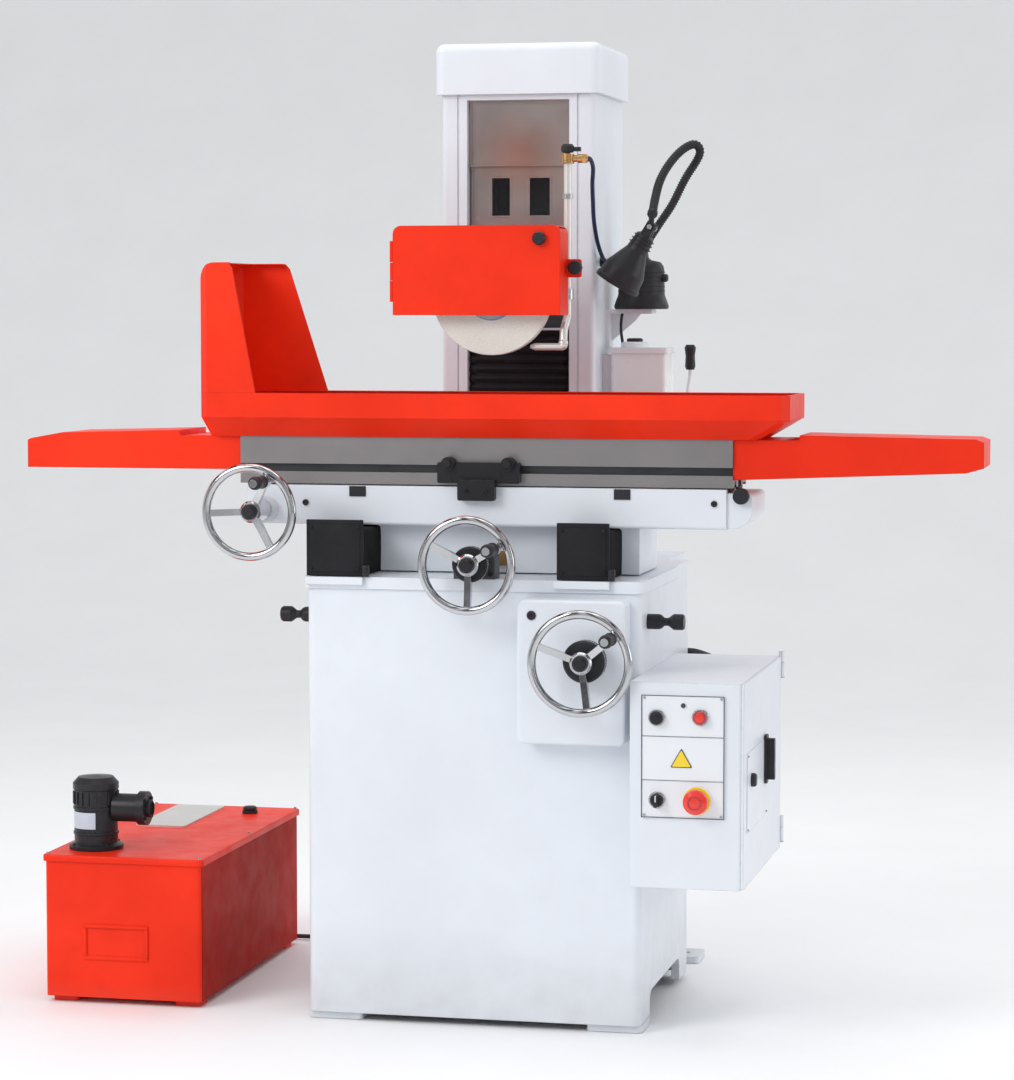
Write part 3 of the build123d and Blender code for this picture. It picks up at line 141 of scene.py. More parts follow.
def surface(name, base, rough, metallic=0.0, vary=0.06, tint=None, rough_vary=0.08, grain=900.0,
            bump=0.02, bump_depth=0.0002, round_mm=1.0, wear=0.0, worn=(0.45, 0.45, 0.45),
            brush=None, brush_scale=0.0, brush_amount=0.0, dust=0.0, dust_top=0.0, speckle=0.0,
            speckle_to=None, coat=0.0, transmit=0.0, sheen=0.0, specular=0.5, patch=None,
            reflection_colour=None):
    """Procedural finish.

    vary, rough_vary: spread of colour and roughness; tint: second base colour
    grain, bump, bump_depth: scale, strength and depth (m) of the fine relief
    round_mm: edge rounding in shading; wear, worn: amount and colour of the rubbed edges
    brush: stretch of the line noise along x, y, z, with its scale and amount
    dust, dust_top: amount of dust at the floor and height (m) where it ends
    speckle, patch: cell spots, and one oval patch of painted reflection, each blending to its own
    colour
    """
    material = bpy.data.materials.new(name)
    nodes = Nodes(material)
    coords = nodes.add("TexCoord").outputs["Object"]
    broad = nodes.noise(coords, scale=3.1, detail=4.0)
    medium = nodes.noise(coords, scale=22.0, detail=4.0)
    height = nodes.noise(coords, scale=grain, detail=2.0)

    dark = tuple(max(0.0, c * (1 - vary)) for c in base)
    light = tuple(min(1.0, c * (1 + vary)) for c in (tint or base))
    blotch = tuple(c * (1 - 1.2 * vary) for c in base)
    colour = nodes.blend(nodes.remap(broad, 0.35, 0.65), dark, light)
    colour = nodes.blend(nodes.remap(medium, 0.45, 0.75, 0.0, 0.35), colour, blotch)
    roughness = nodes.remap(medium, 0.3, 0.7, max(0.02, rough - rough_vary),
                            min(1.0, rough + rough_vary))
    if brush:
        lines = nodes.noise(coords, brush_scale, detail=3.0, roughness=0.6, stretch=brush)
        shift = nodes.remap(lines, 0.3, 0.7, -brush_amount, brush_amount)
        roughness = nodes.math("ADD", roughness, shift)
        strength = nodes.remap(lines, 0.35, 0.7, 0.0, min(1.0, 2.2 * brush_amount))
        colour = nodes.blend(strength, colour, tuple(c * 0.72 for c in base))
        height = nodes.math("ADD", height, nodes.math("MULTIPLY", lines, 1.4))
    if speckle:
        cells = nodes.add("TexVoronoi", {"Scale": 420.0, "Vector": coords}).outputs["Distance"]
        colour = nodes.blend(nodes.remap(cells, 0.05, 0.55, speckle, 0.0), colour, speckle_to)
        height = nodes.math("ADD", height, cells)
    # painted reflection: the oval patch is blended towards its own colour
    if patch:
        colour = nodes.blend(painted_reflection_strength(nodes, coords, **patch), colour, reflection_colour)
    if dust:
        z = nodes.add("SeparateXYZ", {0: coords}).outputs["Z"]
        low = nodes.remap(z, dust_top, 0.0, 0.0, dust)
        low = nodes.math("MULTIPLY", low, nodes.remap(medium, 0.3, 0.7, 0.4, 1.0))
        colour = nodes.blend(low, colour, (0.36, 0.33, 0.29))

    relief = {"Strength": min(1.0, bump * 10), "Distance": bump_depth, "Height": height}
    if round_mm:
        rounded = nodes.add("Bevel", {"Radius": round_mm / 1000}, samples=4).outputs[0]
        relief["Normal"] = rounded
    if wear:
        # the rounded normal turns away from the true one on sharp edges
        true_normal = nodes.add("NewGeometry").outputs["Normal"]
        match = nodes.add("VectorMath", {0: rounded, 1: true_normal}, operation="DOT_PRODUCT")
        edge = nodes.math("SUBTRACT", 1.0, match.outputs["Value"])
        chips = nodes.noise(coords, scale=75.0, detail=5.0)
        rubbed = nodes.math("MULTIPLY", nodes.remap(edge, 0.02, 0.16),
                            nodes.remap(chips, 0.48, 0.62))
        rubbed = nodes.math("MULTIPLY", rubbed, wear)
        colour = nodes.blend(rubbed, colour, worn)
        roughness = nodes.math("ADD", roughness, nodes.math("MULTIPLY", rubbed, 0.18))

    shader = nodes.add("BsdfPrincipled", {
        "Base Color": colour, "Roughness": roughness, "Metallic": metallic,
        "Normal": nodes.add("Bump", relief).outputs[0], "Specular IOR Level": specular,
        "Coat Weight": coat, "Coat Roughness": 0.12, "Sheen Weight": sheen,
        "Transmission Weight": transmit})
    nodes.add("OutputMaterial", {0: shader.outputs[0]})
    return material


FINISHES = {
    "white": surface(
        "white_enamel", base=(0.74, 0.775, 0.83), rough=0.36, vary=0.035, rough_vary=0.06,
        grain=650, bump=0.018, round_mm=2.2, wear=0.35, worn=(0.42, 0.43, 0.44),
        dust=0.32, dust_top=0.16, coat=0.15),
    "white_flat": surface(
        "white_panel", base=(0.80, 0.825, 0.86), rough=0.42, vary=0.03, grain=500, bump=0.015,
        round_mm=0.8, wear=0.2, worn=(0.4, 0.4, 0.4)),
    "red": surface(
        "red_enamel", base=(0.82, 0.026, 0.005), rough=0.40, vary=0.07,
        tint=(0.88, 0.034, 0.008), rough_vary=0.07, specular=0.16, grain=520, bump=0.022,
        round_mm=2.0, wear=0.45, worn=(0.34, 0.06, 0.035), coat=0.04, dust=0.08, dust_top=0.04),
    # painted shade: a deeper, less glossy red that stands in for the shade on the coolant tank's
    # right side
    "red_painted_shade": surface(
        "red_enamel_painted_shade", base=(0.40, 0.010, 0.003), rough=0.46, vary=0.10,
        tint=(0.46, 0.014, 0.004), specular=0.05, grain=520, bump=0.022,
        round_mm=2.0, wear=0.25, worn=(0.20, 0.03, 0.02), dust=0.06, dust_top=0.04),
    "ground": surface(
        "ground_steel", base=(0.30, 0.285, 0.285), rough=0.38, metallic=0.75, vary=0.08,
        rough_vary=0.06, grain=1400, bump=0.012, round_mm=0.7, wear=0.4, worn=(0.70, 0.70, 0.70),
        brush=(0.06, 10.0, 10.0), brush_scale=90, brush_amount=0.035),
    "chrome": surface(
        "chrome_plate", base=(0.56, 0.565, 0.58), rough=0.13, metallic=1.0, vary=0.05,
        rough_vary=0.045, grain=260, bump=0.006, round_mm=0.9, wear=0.25,
        worn=(0.50, 0.49, 0.47)),
    "steel": surface(
        "turned_steel", base=(0.52, 0.52, 0.53), rough=0.28, metallic=1.0, vary=0.08, grain=1200,
        round_mm=0.4, wear=0.3, worn=(0.8, 0.8, 0.8),
        brush=(3.0, 0.4, 3.0), brush_scale=160, brush_amount=0.06),
    # painted reflection: the oval patch near the top of the column covers is a warm pink that
    # stands in for a reflection on the sheet
    "sheet": surface(
        "grey_sheet", base=(0.42, 0.37, 0.36), rough=0.24, metallic=0.9, vary=0.10,
        tint=(0.52, 0.41, 0.375), rough_vary=0.03, grain=700, bump=0.005, round_mm=0.6,
        wear=0.1, worn=(0.6, 0.6, 0.6), brush=(9.0, 1.0, 0.12), brush_scale=70,
        brush_amount=0.012, reflection_colour=(0.56, 0.25, 0.185),
        patch=dict(centre=(0.005, 1.430), radii=(0.075, 0.065), amount=0.75)),
    "black": surface(
        "black_moulding", base=(0.022, 0.022, 0.027), rough=0.42, vary=0.25, rough_vary=0.10,
        grain=1500, bump=0.05, round_mm=0.8, wear=0.5, worn=(0.10, 0.10, 0.11), specular=0.32),
    "blackpaint": surface(
        "black_enamel", base=(0.020, 0.020, 0.024), rough=0.34, vary=0.22, rough_vary=0.10,
        grain=800, bump=0.03, wear=0.6, worn=(0.16, 0.155, 0.15), specular=0.28),
    "bellows": surface(
        "bellows_cloth", base=(0.012, 0.012, 0.015), rough=0.66, vary=0.35, rough_vary=0.10,
        grain=2600, bump=0.08, round_mm=0.0, sheen=0.08, specular=0.22),
    "rubber": surface(
        "rubber_black", base=(0.025, 0.025, 0.027), rough=0.68, vary=0.25, grain=1800,
        bump=0.06, round_mm=0.5),
    "hose": surface(
        "hose_blue_black", base=(0.012, 0.020, 0.075), rough=0.45, vary=0.25, grain=1500,
        bump=0.05, round_mm=0.0),
    "brass": surface(
        "brass_fitting", base=(0.62, 0.36, 0.15), rough=0.28, metallic=1.0, vary=0.12,
        round_mm=0.4, wear=0.4, worn=(0.85, 0.62, 0.34)),
    "iron": surface(
        "dark_iron", base=(0.075, 0.078, 0.085), rough=0.48, metallic=0.35, vary=0.2,
        rough_vary=0.12, grain=420, bump=0.08, round_mm=1.2, wear=0.5, worn=(0.35, 0.35, 0.35)),
    "abrasive": surface(
        "vitrified_grit", base=(0.80, 0.79, 0.73), rough=0.92, grain=1700, bump=0.10,
        bump_depth=0.0005, round_mm=0.6, speckle=0.35, speckle_to=(0.55, 0.54, 0.50)),
    "pipe": surface(
        "pale_tube", base=(0.74, 0.72, 0.69), rough=0.36, metallic=0.55, round_mm=0.4,
        wear=0.10, worn=(0.9, 0.9, 0.9)),
    "reservoir": surface(
        "reservoir_plastic", base=(0.87, 0.90, 0.91), rough=0.30, vary=0.05, grain=600,
        round_mm=1.5, coat=0.2, wear=0.2, worn=(0.6, 0.6, 0.58)),
    "redplastic": surface(
        "red_plastic", base=(0.80, 0.035, 0.018), rough=0.26, vary=0.10, bump=0.015,
        round_mm=1.2, coat=0.4, wear=0.2, worn=(0.5, 0.05, 0.04)),
    "darkred": surface(
        "dark_red_plastic", base=(0.50, 0.018, 0.035), rough=0.26, vary=0.10, bump=0.015,
        coat=0.4, wear=0.2, worn=(0.35, 0.05, 0.05)),
    "yellow": surface(
        "yellow_plate", base=(0.92, 0.66, 0.03), rough=0.38, vary=0.07, grain=700, round_mm=0.4,
        wear=0.3, worn=(0.55, 0.42, 0.12)),
    "line": surface(
        "engraved_line", base=(0.10, 0.105, 0.12), rough=0.5, vary=0.2, round_mm=0.2),
    "mark": surface(
        "dial_mark", base=(0.80, 0.80, 0.78), rough=0.5, vary=0.08, round_mm=0.1),
    "label": surface(
        "pale_label", base=(0.52, 0.58, 0.66), rough=0.35, vary=0.10, grain=800, round_mm=0.3,
        wear=0.3, worn=(0.3, 0.3, 0.3)),
    "paper": surface(
        "blotter_paper", base=(0.30, 0.36, 0.50), rough=0.85, vary=0.15, grain=1200, bump=0.06,
        round_mm=0.2),
    "lens": surface(
        "lamp_lens", base=(0.92, 0.92, 0.86), rough=0.25, vary=0.05, grain=500, round_mm=0.3,
        transmit=0.3),
    "bronze": surface(
        "bronze_bush", base=(0.50, 0.30, 0.12), rough=0.36, metallic=1.0, vary=0.12,
        round_mm=0.4, wear=0.3, worn=(0.8, 0.6, 0.35)),
    "floor": surface(
        "pale_floor", base=(0.90, 0.90, 0.91), rough=0.75, vary=0.012, grain=300, bump=0.004,
        round_mm=0.0),
}

# CAD pieces of each finish; every piece not listed is white
PIECES_BY_FINISH = {
    "white_flat": "lamp_bracket control_panel lubricator_lever",
    "red": "coolant_tank splash_tray left_splash_guard table_wings wheel_guard guard_cover",
    "ground": "cross_ways table",
    "chrome": "table_handwheel cross_handwheel vertical_handwheel",
    "steel": "table_rack table_drive_shaft pinion_shaft cross_screw vertical_feed_shaft "
             "transverse_shaft elevating_screw wheel_spindle",
    "sheet": "column_covers head_way_shield",
    "black": "saddle_plugs table_wheel_cap table_grip cross_grip vertical_grip valve_knob "
             "lamp_base lamp_head start_button selector_switch",
    "blackpaint": "lifting_bollards coolant_pump stop_bracket cross_dial vertical_dial "
                  "spindle_motor",
    "bellows": "saddle_way_covers column_way_cover",
    "rubber": "drive_belt",
    "iron": "bearing_blocks head_casting",
    "abrasive": "grinding_wheel",
    "pipe": "coolant_pipe",
    "reservoir": "lubricator",
    "redplastic": "emergency_stop",
    "darkred": "stop_button",
    "bronze": "cross_nut",
}
finish_of = {piece: finish for finish, names in PIECES_BY_FINISH.items()
             for piece in names.split()}
for piece, node in NODES.items():
    node.data.materials.clear()
    node.data.materials.append(FINISHES[finish_of.get(piece, "white")])


def paint(piece, finish, test):
    """A second finish on the faces of a CAD piece whose centre in mm passes the test."""
    mesh = NODES[piece].data
    mesh.materials.append(FINISHES[finish])
    slot = len(mesh.materials) - 1
    for face in mesh.polygons:
        if test(*in_mm(face.center)):
            face.material_index = slot


paint("electrical_door", "black", lambda x, y, z: x > 460.2 and 115 < y < 152)
paint("electrical_door", "black", lambda x, y, z: x > 459.2 and -32 < y < -6 and 410 < z < 436)
paint("guard_cover", "black", lambda x, y, z: y < 109.9 and x > 70 and z > 1268)
paint("lubricator_lever", "black", lambda x, y, z: z > 1063.5)
paint("coolant_pipe", "brass", lambda x, y, z: z > 1407.5)
paint("coolant_pipe", "steel", lambda x, y, z: 1348 < z < 1360 or 1183 < z < 1203)
paint("column_covers", "white", lambda x, y, z: y > 590)
paint("head_casting", "white", lambda x, y, z: y < 374)
paint("lubricator", "white_flat", lambda x, y, z: z > 1091.5 or x > 248 or x < 150)
# painted shade: the right side of the coolant tank, below its lid, gets the deeper red in place of
# its shade
paint("coolant_tank", "red_painted_shade", lambda x, y, z: x > -473.0 and z < 240 and y > 34)
paint("coolant_tank", "pipe", lambda x, y, z: z > 251.2 and x < -600 and y > 300)
paint("coolant_tank", "black", lambda x, y, z: z > 251.2 and x > -560)
paint("control_panel", "iron",
      lambda x, y, z: y < PANEL_FACE_Y and abs(x - 364) < 7 and abs(z - 549) < 7)
paint("table_rack", "ground", lambda x, y, z: z > 880)
# painted shade: the inside faces of the table's T-groove get dark iron, standing in for the shade
# deep in the groove
paint("table", "iron", lambda x, y, z: 895.5 < z < 917.5 and 75.5 < y < 89)


# ------------------------------------------------------------------ shapes
def build(name, finish, body, *shapes, smooth=True, angle=40):
    """One object made of shapes, riding on a body if one is named."""
    bm = bmesh.new()
    for add_to in shapes:
        add_to(bm)
    bmesh.ops.recalc_face_normals(bm, faces=bm.faces)
    mesh = bpy.data.meshes.new(name)
    bm.to_mesh(mesh)
    bm.free()
    made = bpy.data.objects.new(name, mesh)
    bpy.context.scene.collection.objects.link(made)
    mesh.materials.append(FINISHES[finish])
    if smooth:
        for face in mesh.polygons:
            face.use_smooth = True
        mesh.set_sharp_from_angle(angle=math.radians(angle))
    if body:
        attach(made, body)
    return made


def shape(add):
    """Makes add(bm, ...) a call without bm, whose result build() runs on its own mesh."""
    return lambda *args, **options: lambda bm: add(bm, *args, **options)


def axis_frame(axis):
    """Two unit vectors square to the axis, and the unit axis."""
    along = Vector(axis).normalized()
    hint = Vector(UP if abs(along.z) < 0.9 else RIGHT)
    across = hint.cross(along).normalized()
    return across, along.cross(across).normalized(), along


def ring(bm, centre, across, other, radius, count):
    angles = [2 * math.pi * i / count for i in range(count)]
    return [bm.verts.new(centre + (across * math.cos(t) + other * math.sin(t)) * (radius / 1000))
            for t in angles]


def loft(bm, rows, closed=True, capped=False):
    """Quads between neighbouring rows of vertices."""
    for low, high in zip(rows, rows[1:]):
        for i in range(len(low) if closed else len(low) - 1):
            j = (i + 1) % len(low)
            bm.faces.new((low[i], low[j], high[j], high[i]))
    if capped:
        bm.faces.new(rows[0][::-1])
        bm.faces.new(rows[-1])


@shape
def skin(bm, rows, solid=False):
    """Surface over rows of points in mm; solid closes each row and caps the ends."""
    verts = [[bm.verts.new(place(*spot)) for spot in row] for row in rows]
    loft(bm, verts, closed=solid, capped=solid)


@shape
def turned(bm, spot, axis, profile, segments=40):
    """Turned shape; profile is (radius, distance along the axis from spot)."""
    across, other, along = axis_frame(axis)
    rings = []
    for radius, distance in profile:
        centre = place(*spot) + along * (distance / 1000)
        if radius:
            rings.append(ring(bm, centre, across, other, radius, segments))
        else:
            rings.append([bm.verts.new(centre)])
    for low, high in zip(rings, rings[1:]):
        for i in range(segments):
            j = (i + 1) % segments
            corners = (low[i % len(low)], low[j % len(low)],
                       high[j % len(high)], high[i % len(high)])
            bm.faces.new(list(dict.fromkeys(corners)))  # a triangle at a point on the axis


def cuboid(bm, spans, to_metres):
    verts = [bm.verts.new(to_metres(corner)) for corner in product(*spans)]
    sides = ((0, 1, 3, 2), (4, 6, 7, 5), (0, 4, 5, 1), (2, 3, 7, 6), (0, 2, 6, 4), (1, 5, 7, 3))
    return [bm.faces.new([verts[i] for i in side]) for side in sides]


@shape
def box(bm, x_span, y_span, z_span, bevel, steps=2):
    """Box with every edge rounded by bevel."""
    faces = cuboid(bm, (x_span, y_span, z_span), lambda corner: place(*corner))
    edges = list({edge for face in faces for edge in face.edges})
    bmesh.ops.bevel(bm, geom=edges, offset=bevel / 1000, segments=steps, profile=0.5,
                    affect="EDGES")


@shape
def swung_block(bm, spot, turn, axis, *spans):
    """Sharp block with spans counted from spot, swung by turn (radians) about the axis."""
    move = Matrix.Translation(place(*spot)) @ Matrix.Rotation(turn, 4, axis)
    cuboid(bm, spans, lambda corner: move @ (Vector([c / 1000 for c in corner])))


@shape
def cap_screw(bm, spot, axis, thread):
    """Socket head of a cap screw with a chamfered rim and a hexagon recess."""
    radius, height = 0.8 * thread, thread
    socket = radius * 0.52
    turned(spot, axis, [(0, 0), (radius, 0), (radius, height * 0.85), (radius * 0.9, height),
                        (socket, height)], 24)(bm)
    across, other, along = axis_frame(axis)
    rim = ring(bm, place(*spot) + along * (height / 1000), across, other, socket, 6)
    floor_ring = [bm.verts.new(v.co - along * (height * 0.5 / 1000)) for v in rim]
    loft(bm, [rim, floor_ring])
    bm.faces.new(floor_ring)


@shape
def hex_bolt(bm, spot, axis, flats, height):
    across, other, along = axis_frame(axis)
    radius = flats / math.sqrt(3)
    loft(bm, [ring(bm, place(*spot) + along * (distance / 1000), across, other, r, 6)
              for r, distance in ((radius, 0), (radius, height * 0.8), (radius * 0.86, height))],
         capped=True)


def curve(spots, per_span, step=None):
    """Catmull-Rom curve in metres through spots in mm, respaced to about step mm if given."""
    knots = [place(*spot) for spot in spots]
    knots = [knots[0], *knots, knots[-1]]
    path = []
    for p0, p1, p2, p3 in zip(knots, knots[1:], knots[2:], knots[3:]):
        for k in range(per_span):
            t = k / per_span
            path.append(0.5 * ((2 * p1) + (p2 - p0) * t + (2 * p0 - 5 * p1 + 4 * p2 - p3) * t * t
                               + (3 * p1 - p0 - 3 * p2 + p3) * t ** 3))
    path.append(knots[-1])
    if step is None:
        return path
    reach = [0.0]
    for start, end in zip(path, path[1:]):
        reach.append(reach[-1] + (end - start).length)
    count = round(reach[-1] / (step / 1000))
    even = []
    j = 0
    for i in range(count + 1):
        travelled = reach[-1] * i / count
        while j < len(reach) - 2 and reach[j + 1] < travelled:
            j += 1
        share = (travelled - reach[j]) / (reach[j + 1] - reach[j])
        even.append(path[j].lerp(path[j + 1], share))
    return even


@shape
def tube(bm, path, radius, sides, rib_pitch=None):
    """Round tube of radius mm along a path in metres, rippled if a rib pitch in mm is given."""
    rib_height = 0.8
    rings = []
    travelled = 0.0
    across = None
    for i, centre in enumerate(path):
        if i:
            travelled += (centre - path[i - 1]).length
        ahead = (path[min(i + 1, len(path) - 1)] - path[max(i - 1, 0)]).normalized()
        if across is None:
            across = Vector((0.3, 0.2, 1)).normalized().cross(ahead)
            if across.length < 0.1:
                across = Vector(RIGHT).cross(ahead)
            across.normalize()
        else:
            across = (across - ahead * across.dot(ahead)).normalized()
        here = radius
        if rib_pitch:
            here += rib_height * math.sin(2 * math.pi * travelled * 1000 / rib_pitch)
        rings.append(ring(bm, centre, across, ahead.cross(across), here, sides))
    loft(bm, rings, capped=True)


def around(count, radius, first=0):
    """Offsets of count spots on a circle, starting at first degrees."""
    angles = [math.radians(first + 360 / count * i) for i in range(count)]
    return [(radius * math.cos(t), radius * math.sin(t)) for t in angles]


# ------------------------------------------------------------------ folded covers
def pleat_stations(pleats):
    """(share of the length, fold depth 0 to 1) through all pleats."""
    fold = [0.0, 0.16, 0.55, 0.9, 1.0, 0.9, 0.55, 0.16]
    stations = [((k + q / len(fold)) / pleats, depth)
                for k in range(pleats) for q, depth in enumerate(fold)]
    return stations + [(1.0, 0.0)]


def folded_cover(name, rows, thickness):
    """Cloth over rows of points, spanning the gap between the base and a moving body; it rides on
    no body.
    """
    cover = build(name, "bellows", None, skin(rows), angle=60)
    cover.modifiers.new("thick", "SOLIDIFY").thickness = thickness
    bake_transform(cover)
    return cover


def saddle_bellows(name, left, right):
    """Pleated cover over a cross way: an upside-down U section, pleated from front to back."""
    front, back, foot, top = -1.0, 109.0, 734.5, 811.0
    fold_depth, corner = 6.5, 7.0
    corner_arc = [(corner * math.cos(g), corner * math.sin(g))
                  for g in (math.pi / 2 * i / 5 for i in range(1, 5))]
    rows = []
    for t, depth in pleat_stations(11):
        inset = fold_depth * depth
        x0, x1 = left + inset, right - inset
        crown = top - inset - 0.8 * math.sin(math.pi * t)
        shoulder = crown - corner
        path = [(x0, foot)]
        path += [(x0 + 0.3 * math.sin(i + 9 * t), foot + (shoulder - foot) * (i + 1) / 5)
                 for i in range(5)]
        path += [(x0 + corner - c, shoulder + s) for c, s in corner_arc]
        path += [(x0 + corner + (x1 - x0 - 2 * corner) * i / 6,
                  crown - 0.7 * math.sin(math.pi * i / 6)) for i in range(7)]
        path += [(x1 - corner + s, shoulder + c) for c, s in corner_arc]
        path += [(x1 - 0.3 * math.sin(i + 9 * t), shoulder - (shoulder - foot) * i / 5)
                 for i in range(6)]
        y = front + (back - front) * t
        rows.append([(x, y, z) for x, z in path])
    return folded_cover(name, rows, 0.0013)


def column_bellows():
    """Flat pleated cover on the front of the column, pleated from bottom to top."""
    bottom, top, left, width, columns = 887.0, 1131.0, -86, 172, 14
    rows = []
    for t, depth in pleat_stations(15):
        inset = 3.0 * depth
        rows.append([((left + inset * 0.6) + (width - 1.2 * inset) * i / columns,
                      354 + 7.5 * depth + 0.5 * math.sin(i * 1.3 + t * 4),
                      bottom + (top - bottom) * t) for i in range(columns + 1)])
    return folded_cover("column_bellows", rows, 0.0012)


def bellows_frame(name, left, right):
    """Frame at the front end of a saddle cover, its screws and a small clamp at its right."""
    bottom, top, face = 734, 826, -9
    build(name, "bellows", "base",
          box((left, right), (-7.5, -3.0), (bottom, top), 1.6, 3),
          box((left + 5, right - 5), (face, -7.0), (bottom + 7, top - 7), 1.4))
    build(name + "_screws", "blackpaint", "base",
          *(cap_screw((x, face, z), FRONT, 2.6)
            for x in (left + 9, right - 9) for z in (bottom + 12, top - 12)))
    build(name + "_clamp", "black", "base",
          box((right - 1, right + 9), (-11, 0), (bottom, 752), 1.5),
          turned((right + 4, -11, 745), FRONT,
                 [(0, 0), (3.4, 0), (3.4, 3), (2.6, 3.8), (0, 3.8)], 16))


left_cover = saddle_bellows("left_bellows", *LEFT_BELLOWS)
right_cover = saddle_bellows("right_bellows", *RIGHT_BELLOWS)
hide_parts("saddle_way_covers")
for name, (left, right) in (("left_bellows_frame", LEFT_BELLOWS),
                            ("right_bellows_frame", RIGHT_BELLOWS)):
    bellows_frame(name, left - 1, right + 1)
column_cover = column_bellows()
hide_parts("column_way_cover")

# ------------------------------------------------------------------ work lamp
# profiles: (radius, height above the floor) for the foot, (radius, distance) elsewhere
FOOT_PROFILE = [
    (0, 1168.1), (45, 1168.1), (47, 1170), (47.5, 1174), (44, 1184), (41.5, 1190), (40.5, 1194),
    (39.6, 1236), (38, 1243), (33, 1249.5), (17, 1253), (12.5, 1257), (11.5, 1266), (9.5, 1268),
    (0, 1268)]
NECK_SPOTS = [
    (LAMP_X, LAMP_Y, 1258), (194, 470, 1270), (208, 468, 1292), (226, 464, 1318),
    (248, 458, 1349), (271, 450, 1391), (296, 440, 1428), (298, 433, 1444), (288, 424, 1449),
    (270, 410, 1437), (252, 394, 1413), (240, 378, 1386), (236, 355, 1356), (234.6, 333, 1326)]
foot = build("lamp_foot", "black", "lamp", turned((LAMP_X, LAMP_Y, 0), UP, FOOT_PROFILE, 56),
             angle=50)
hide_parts("lamp_base")
# five ribs round the foot and a knob on its right
build("lamp_foot_ribs", "black", "lamp",
      *(turned((LAMP_X, LAMP_Y, z), UP, [(39.2, -1.4), (41.0, -0.8), (41.0, 0.8), (39.2, 1.4)], 56)
        for z in range(1200, 1233, 8)),
      turned((LAMP_X + 40, LAMP_Y - 6, 1222), (1, -0.15, 0),
             [(0, 0), (7, 0), (7, 5), (5.5, 7), (0, 7.5)], 20))
neck = curve(NECK_SPOTS, 30, step=1.1)
build("lamp_gooseneck", "rubber", "lamp", tube(neck, 6.9, 18, rib_pitch=4.6), angle=80)
neck_end = (neck[-1] - neck[-8]).normalized()
build("lamp_neck_collars", "black", "lamp",
      turned(in_mm(neck[-1] - neck_end * 0.009), neck_end,
             [(0, 0), (8.2, 0), (8.8, 1.5), (8.8, 8), (7.4, 10.5), (4.8, 12), (0, 12)], 28),
      turned(TILT, (1, 0, 12), [(4.8, 8), (4.8, 24), (0, 24)], 20),
      turned((TILT_X, TILT_Y - 4.9, TILT_Z), BACK,
             [(0, 0), (8.8, 0), (9.2, 0.8), (9.2, 9.0), (8.8, 9.8), (0, 9.8)], 32),
      turned(in_mm(neck[0] - Vector((0, 0, 0.002))), UP,
             [(0, 0), (9.6, 0), (9.6, 8), (8.2, 10), (0, 10)], 28))
build("lamp_bulb", "lens", "lamp_shade",
      turned(TILT, SHADE_AXIS, [(0, 47), (12, 48), (15, 52), (14, 58), (19, 68), (21, 78),
                                (18, 90), (10, 96), (0, 98)]))


def shade_rib(distance):
    """Rib round the shade's neck, which widens away from the tilt joint."""
    inner = 16.4 + (distance - 18) * 0.107
    outer = inner + 2.2
    return turned(TILT, SHADE_AXIS, [(inner, distance - 1.1), (outer, distance - 0.6),
                                     (outer, distance + 0.6), (inner, distance + 1.1)])


build("lamp_shade_rim", "black", "lamp_shade",
      turned(TILT, SHADE_AXIS, [(38.8, 104), (40.4, 105), (40.8, 108), (40.4, 112.5),
                                (38.6, 113.4), (36.6, 113), (36.2, 110)], 64),
      *(shade_rib(distance) for distance in (22, 29, 36)))
build("lamp_tilt_screw", "steel", "lamp_shade",
      hex_bolt((TILT_X, 315.5, TILT_Z), FRONT, 8, 4),
      turned((TILT_X, 344, TILT_Z), BACK,
             [(0, 0), (7, 0), (8, 1.5), (8, 6), (6.5, 8), (0, 8)], 24))


# ------------------------------------------------------------------ handwheel dials
def dial_marks(name, x, z, radius, y, length, body):
    """Fifty graduation marks round a dial, every fifth one at full length."""
    half_height, half_width, count = 0.15, 0.32, 50
    marks = []
    for i in range(count):
        t = 2 * math.pi * i / count
        reach = radius + half_height
        marks.append(swung_block(
            (x + reach * math.cos(t), y, z + reach * math.sin(t)), -t, "Y",
            (-half_height, half_height), (0.0, length if i % 5 == 0 else length * 0.55),
            (-half_width, half_width)))
    build(name, "mark", body, *marks, smooth=False)


dial_marks("cross_dial_marks", x=5, z=759, radius=29, y=-37, length=9, body="cross_wheel")
dial_marks("vertical_dial_marks", x=200, z=611, radius=34, y=-78, length=11,
           body="vertical_wheel")


# ------------------------------------------------------------------ control panel
def on_panel(button, y):
    return button[0], y, button[1]


# x span, z span of the frame and divider lines
PANEL_LINES = [
    ((297, 429), (563.2, 564.6)), ((297, 429), (370.4, 371.8)), ((297, 298.4), (371, 564)),
    ((427.6, 429), (371, 564)), ((298, 428), (499, 500)), ((298, 428), (429.6, 430.6))]
build("control_plate_lines", "line", "base",
      *(box(x_span, (-103.3, -101.6), z_span, 0.25, 1) for x_span, z_span in PANEL_LINES))
build("button_bezels", "steel", "base",
      *(turned(on_panel(button, PANEL_FACE_Y), FRONT,
               [(11.2, 0), (13.6, 0), (13.6, 0.9), (12.6, 2.0), (11.2, 2.0), (11.2, 0)], 36)
        for button in (START, STOP, SELECTOR)))
build("estop_disc", "yellow", "base",
      turned(on_panel(EMERGENCY, PANEL_FACE_Y), FRONT,
             [(9.5, 0), (22.0, 0), (22.0, 1.0), (21.2, 1.7), (9.5, 1.7), (9.5, 0)], 56))


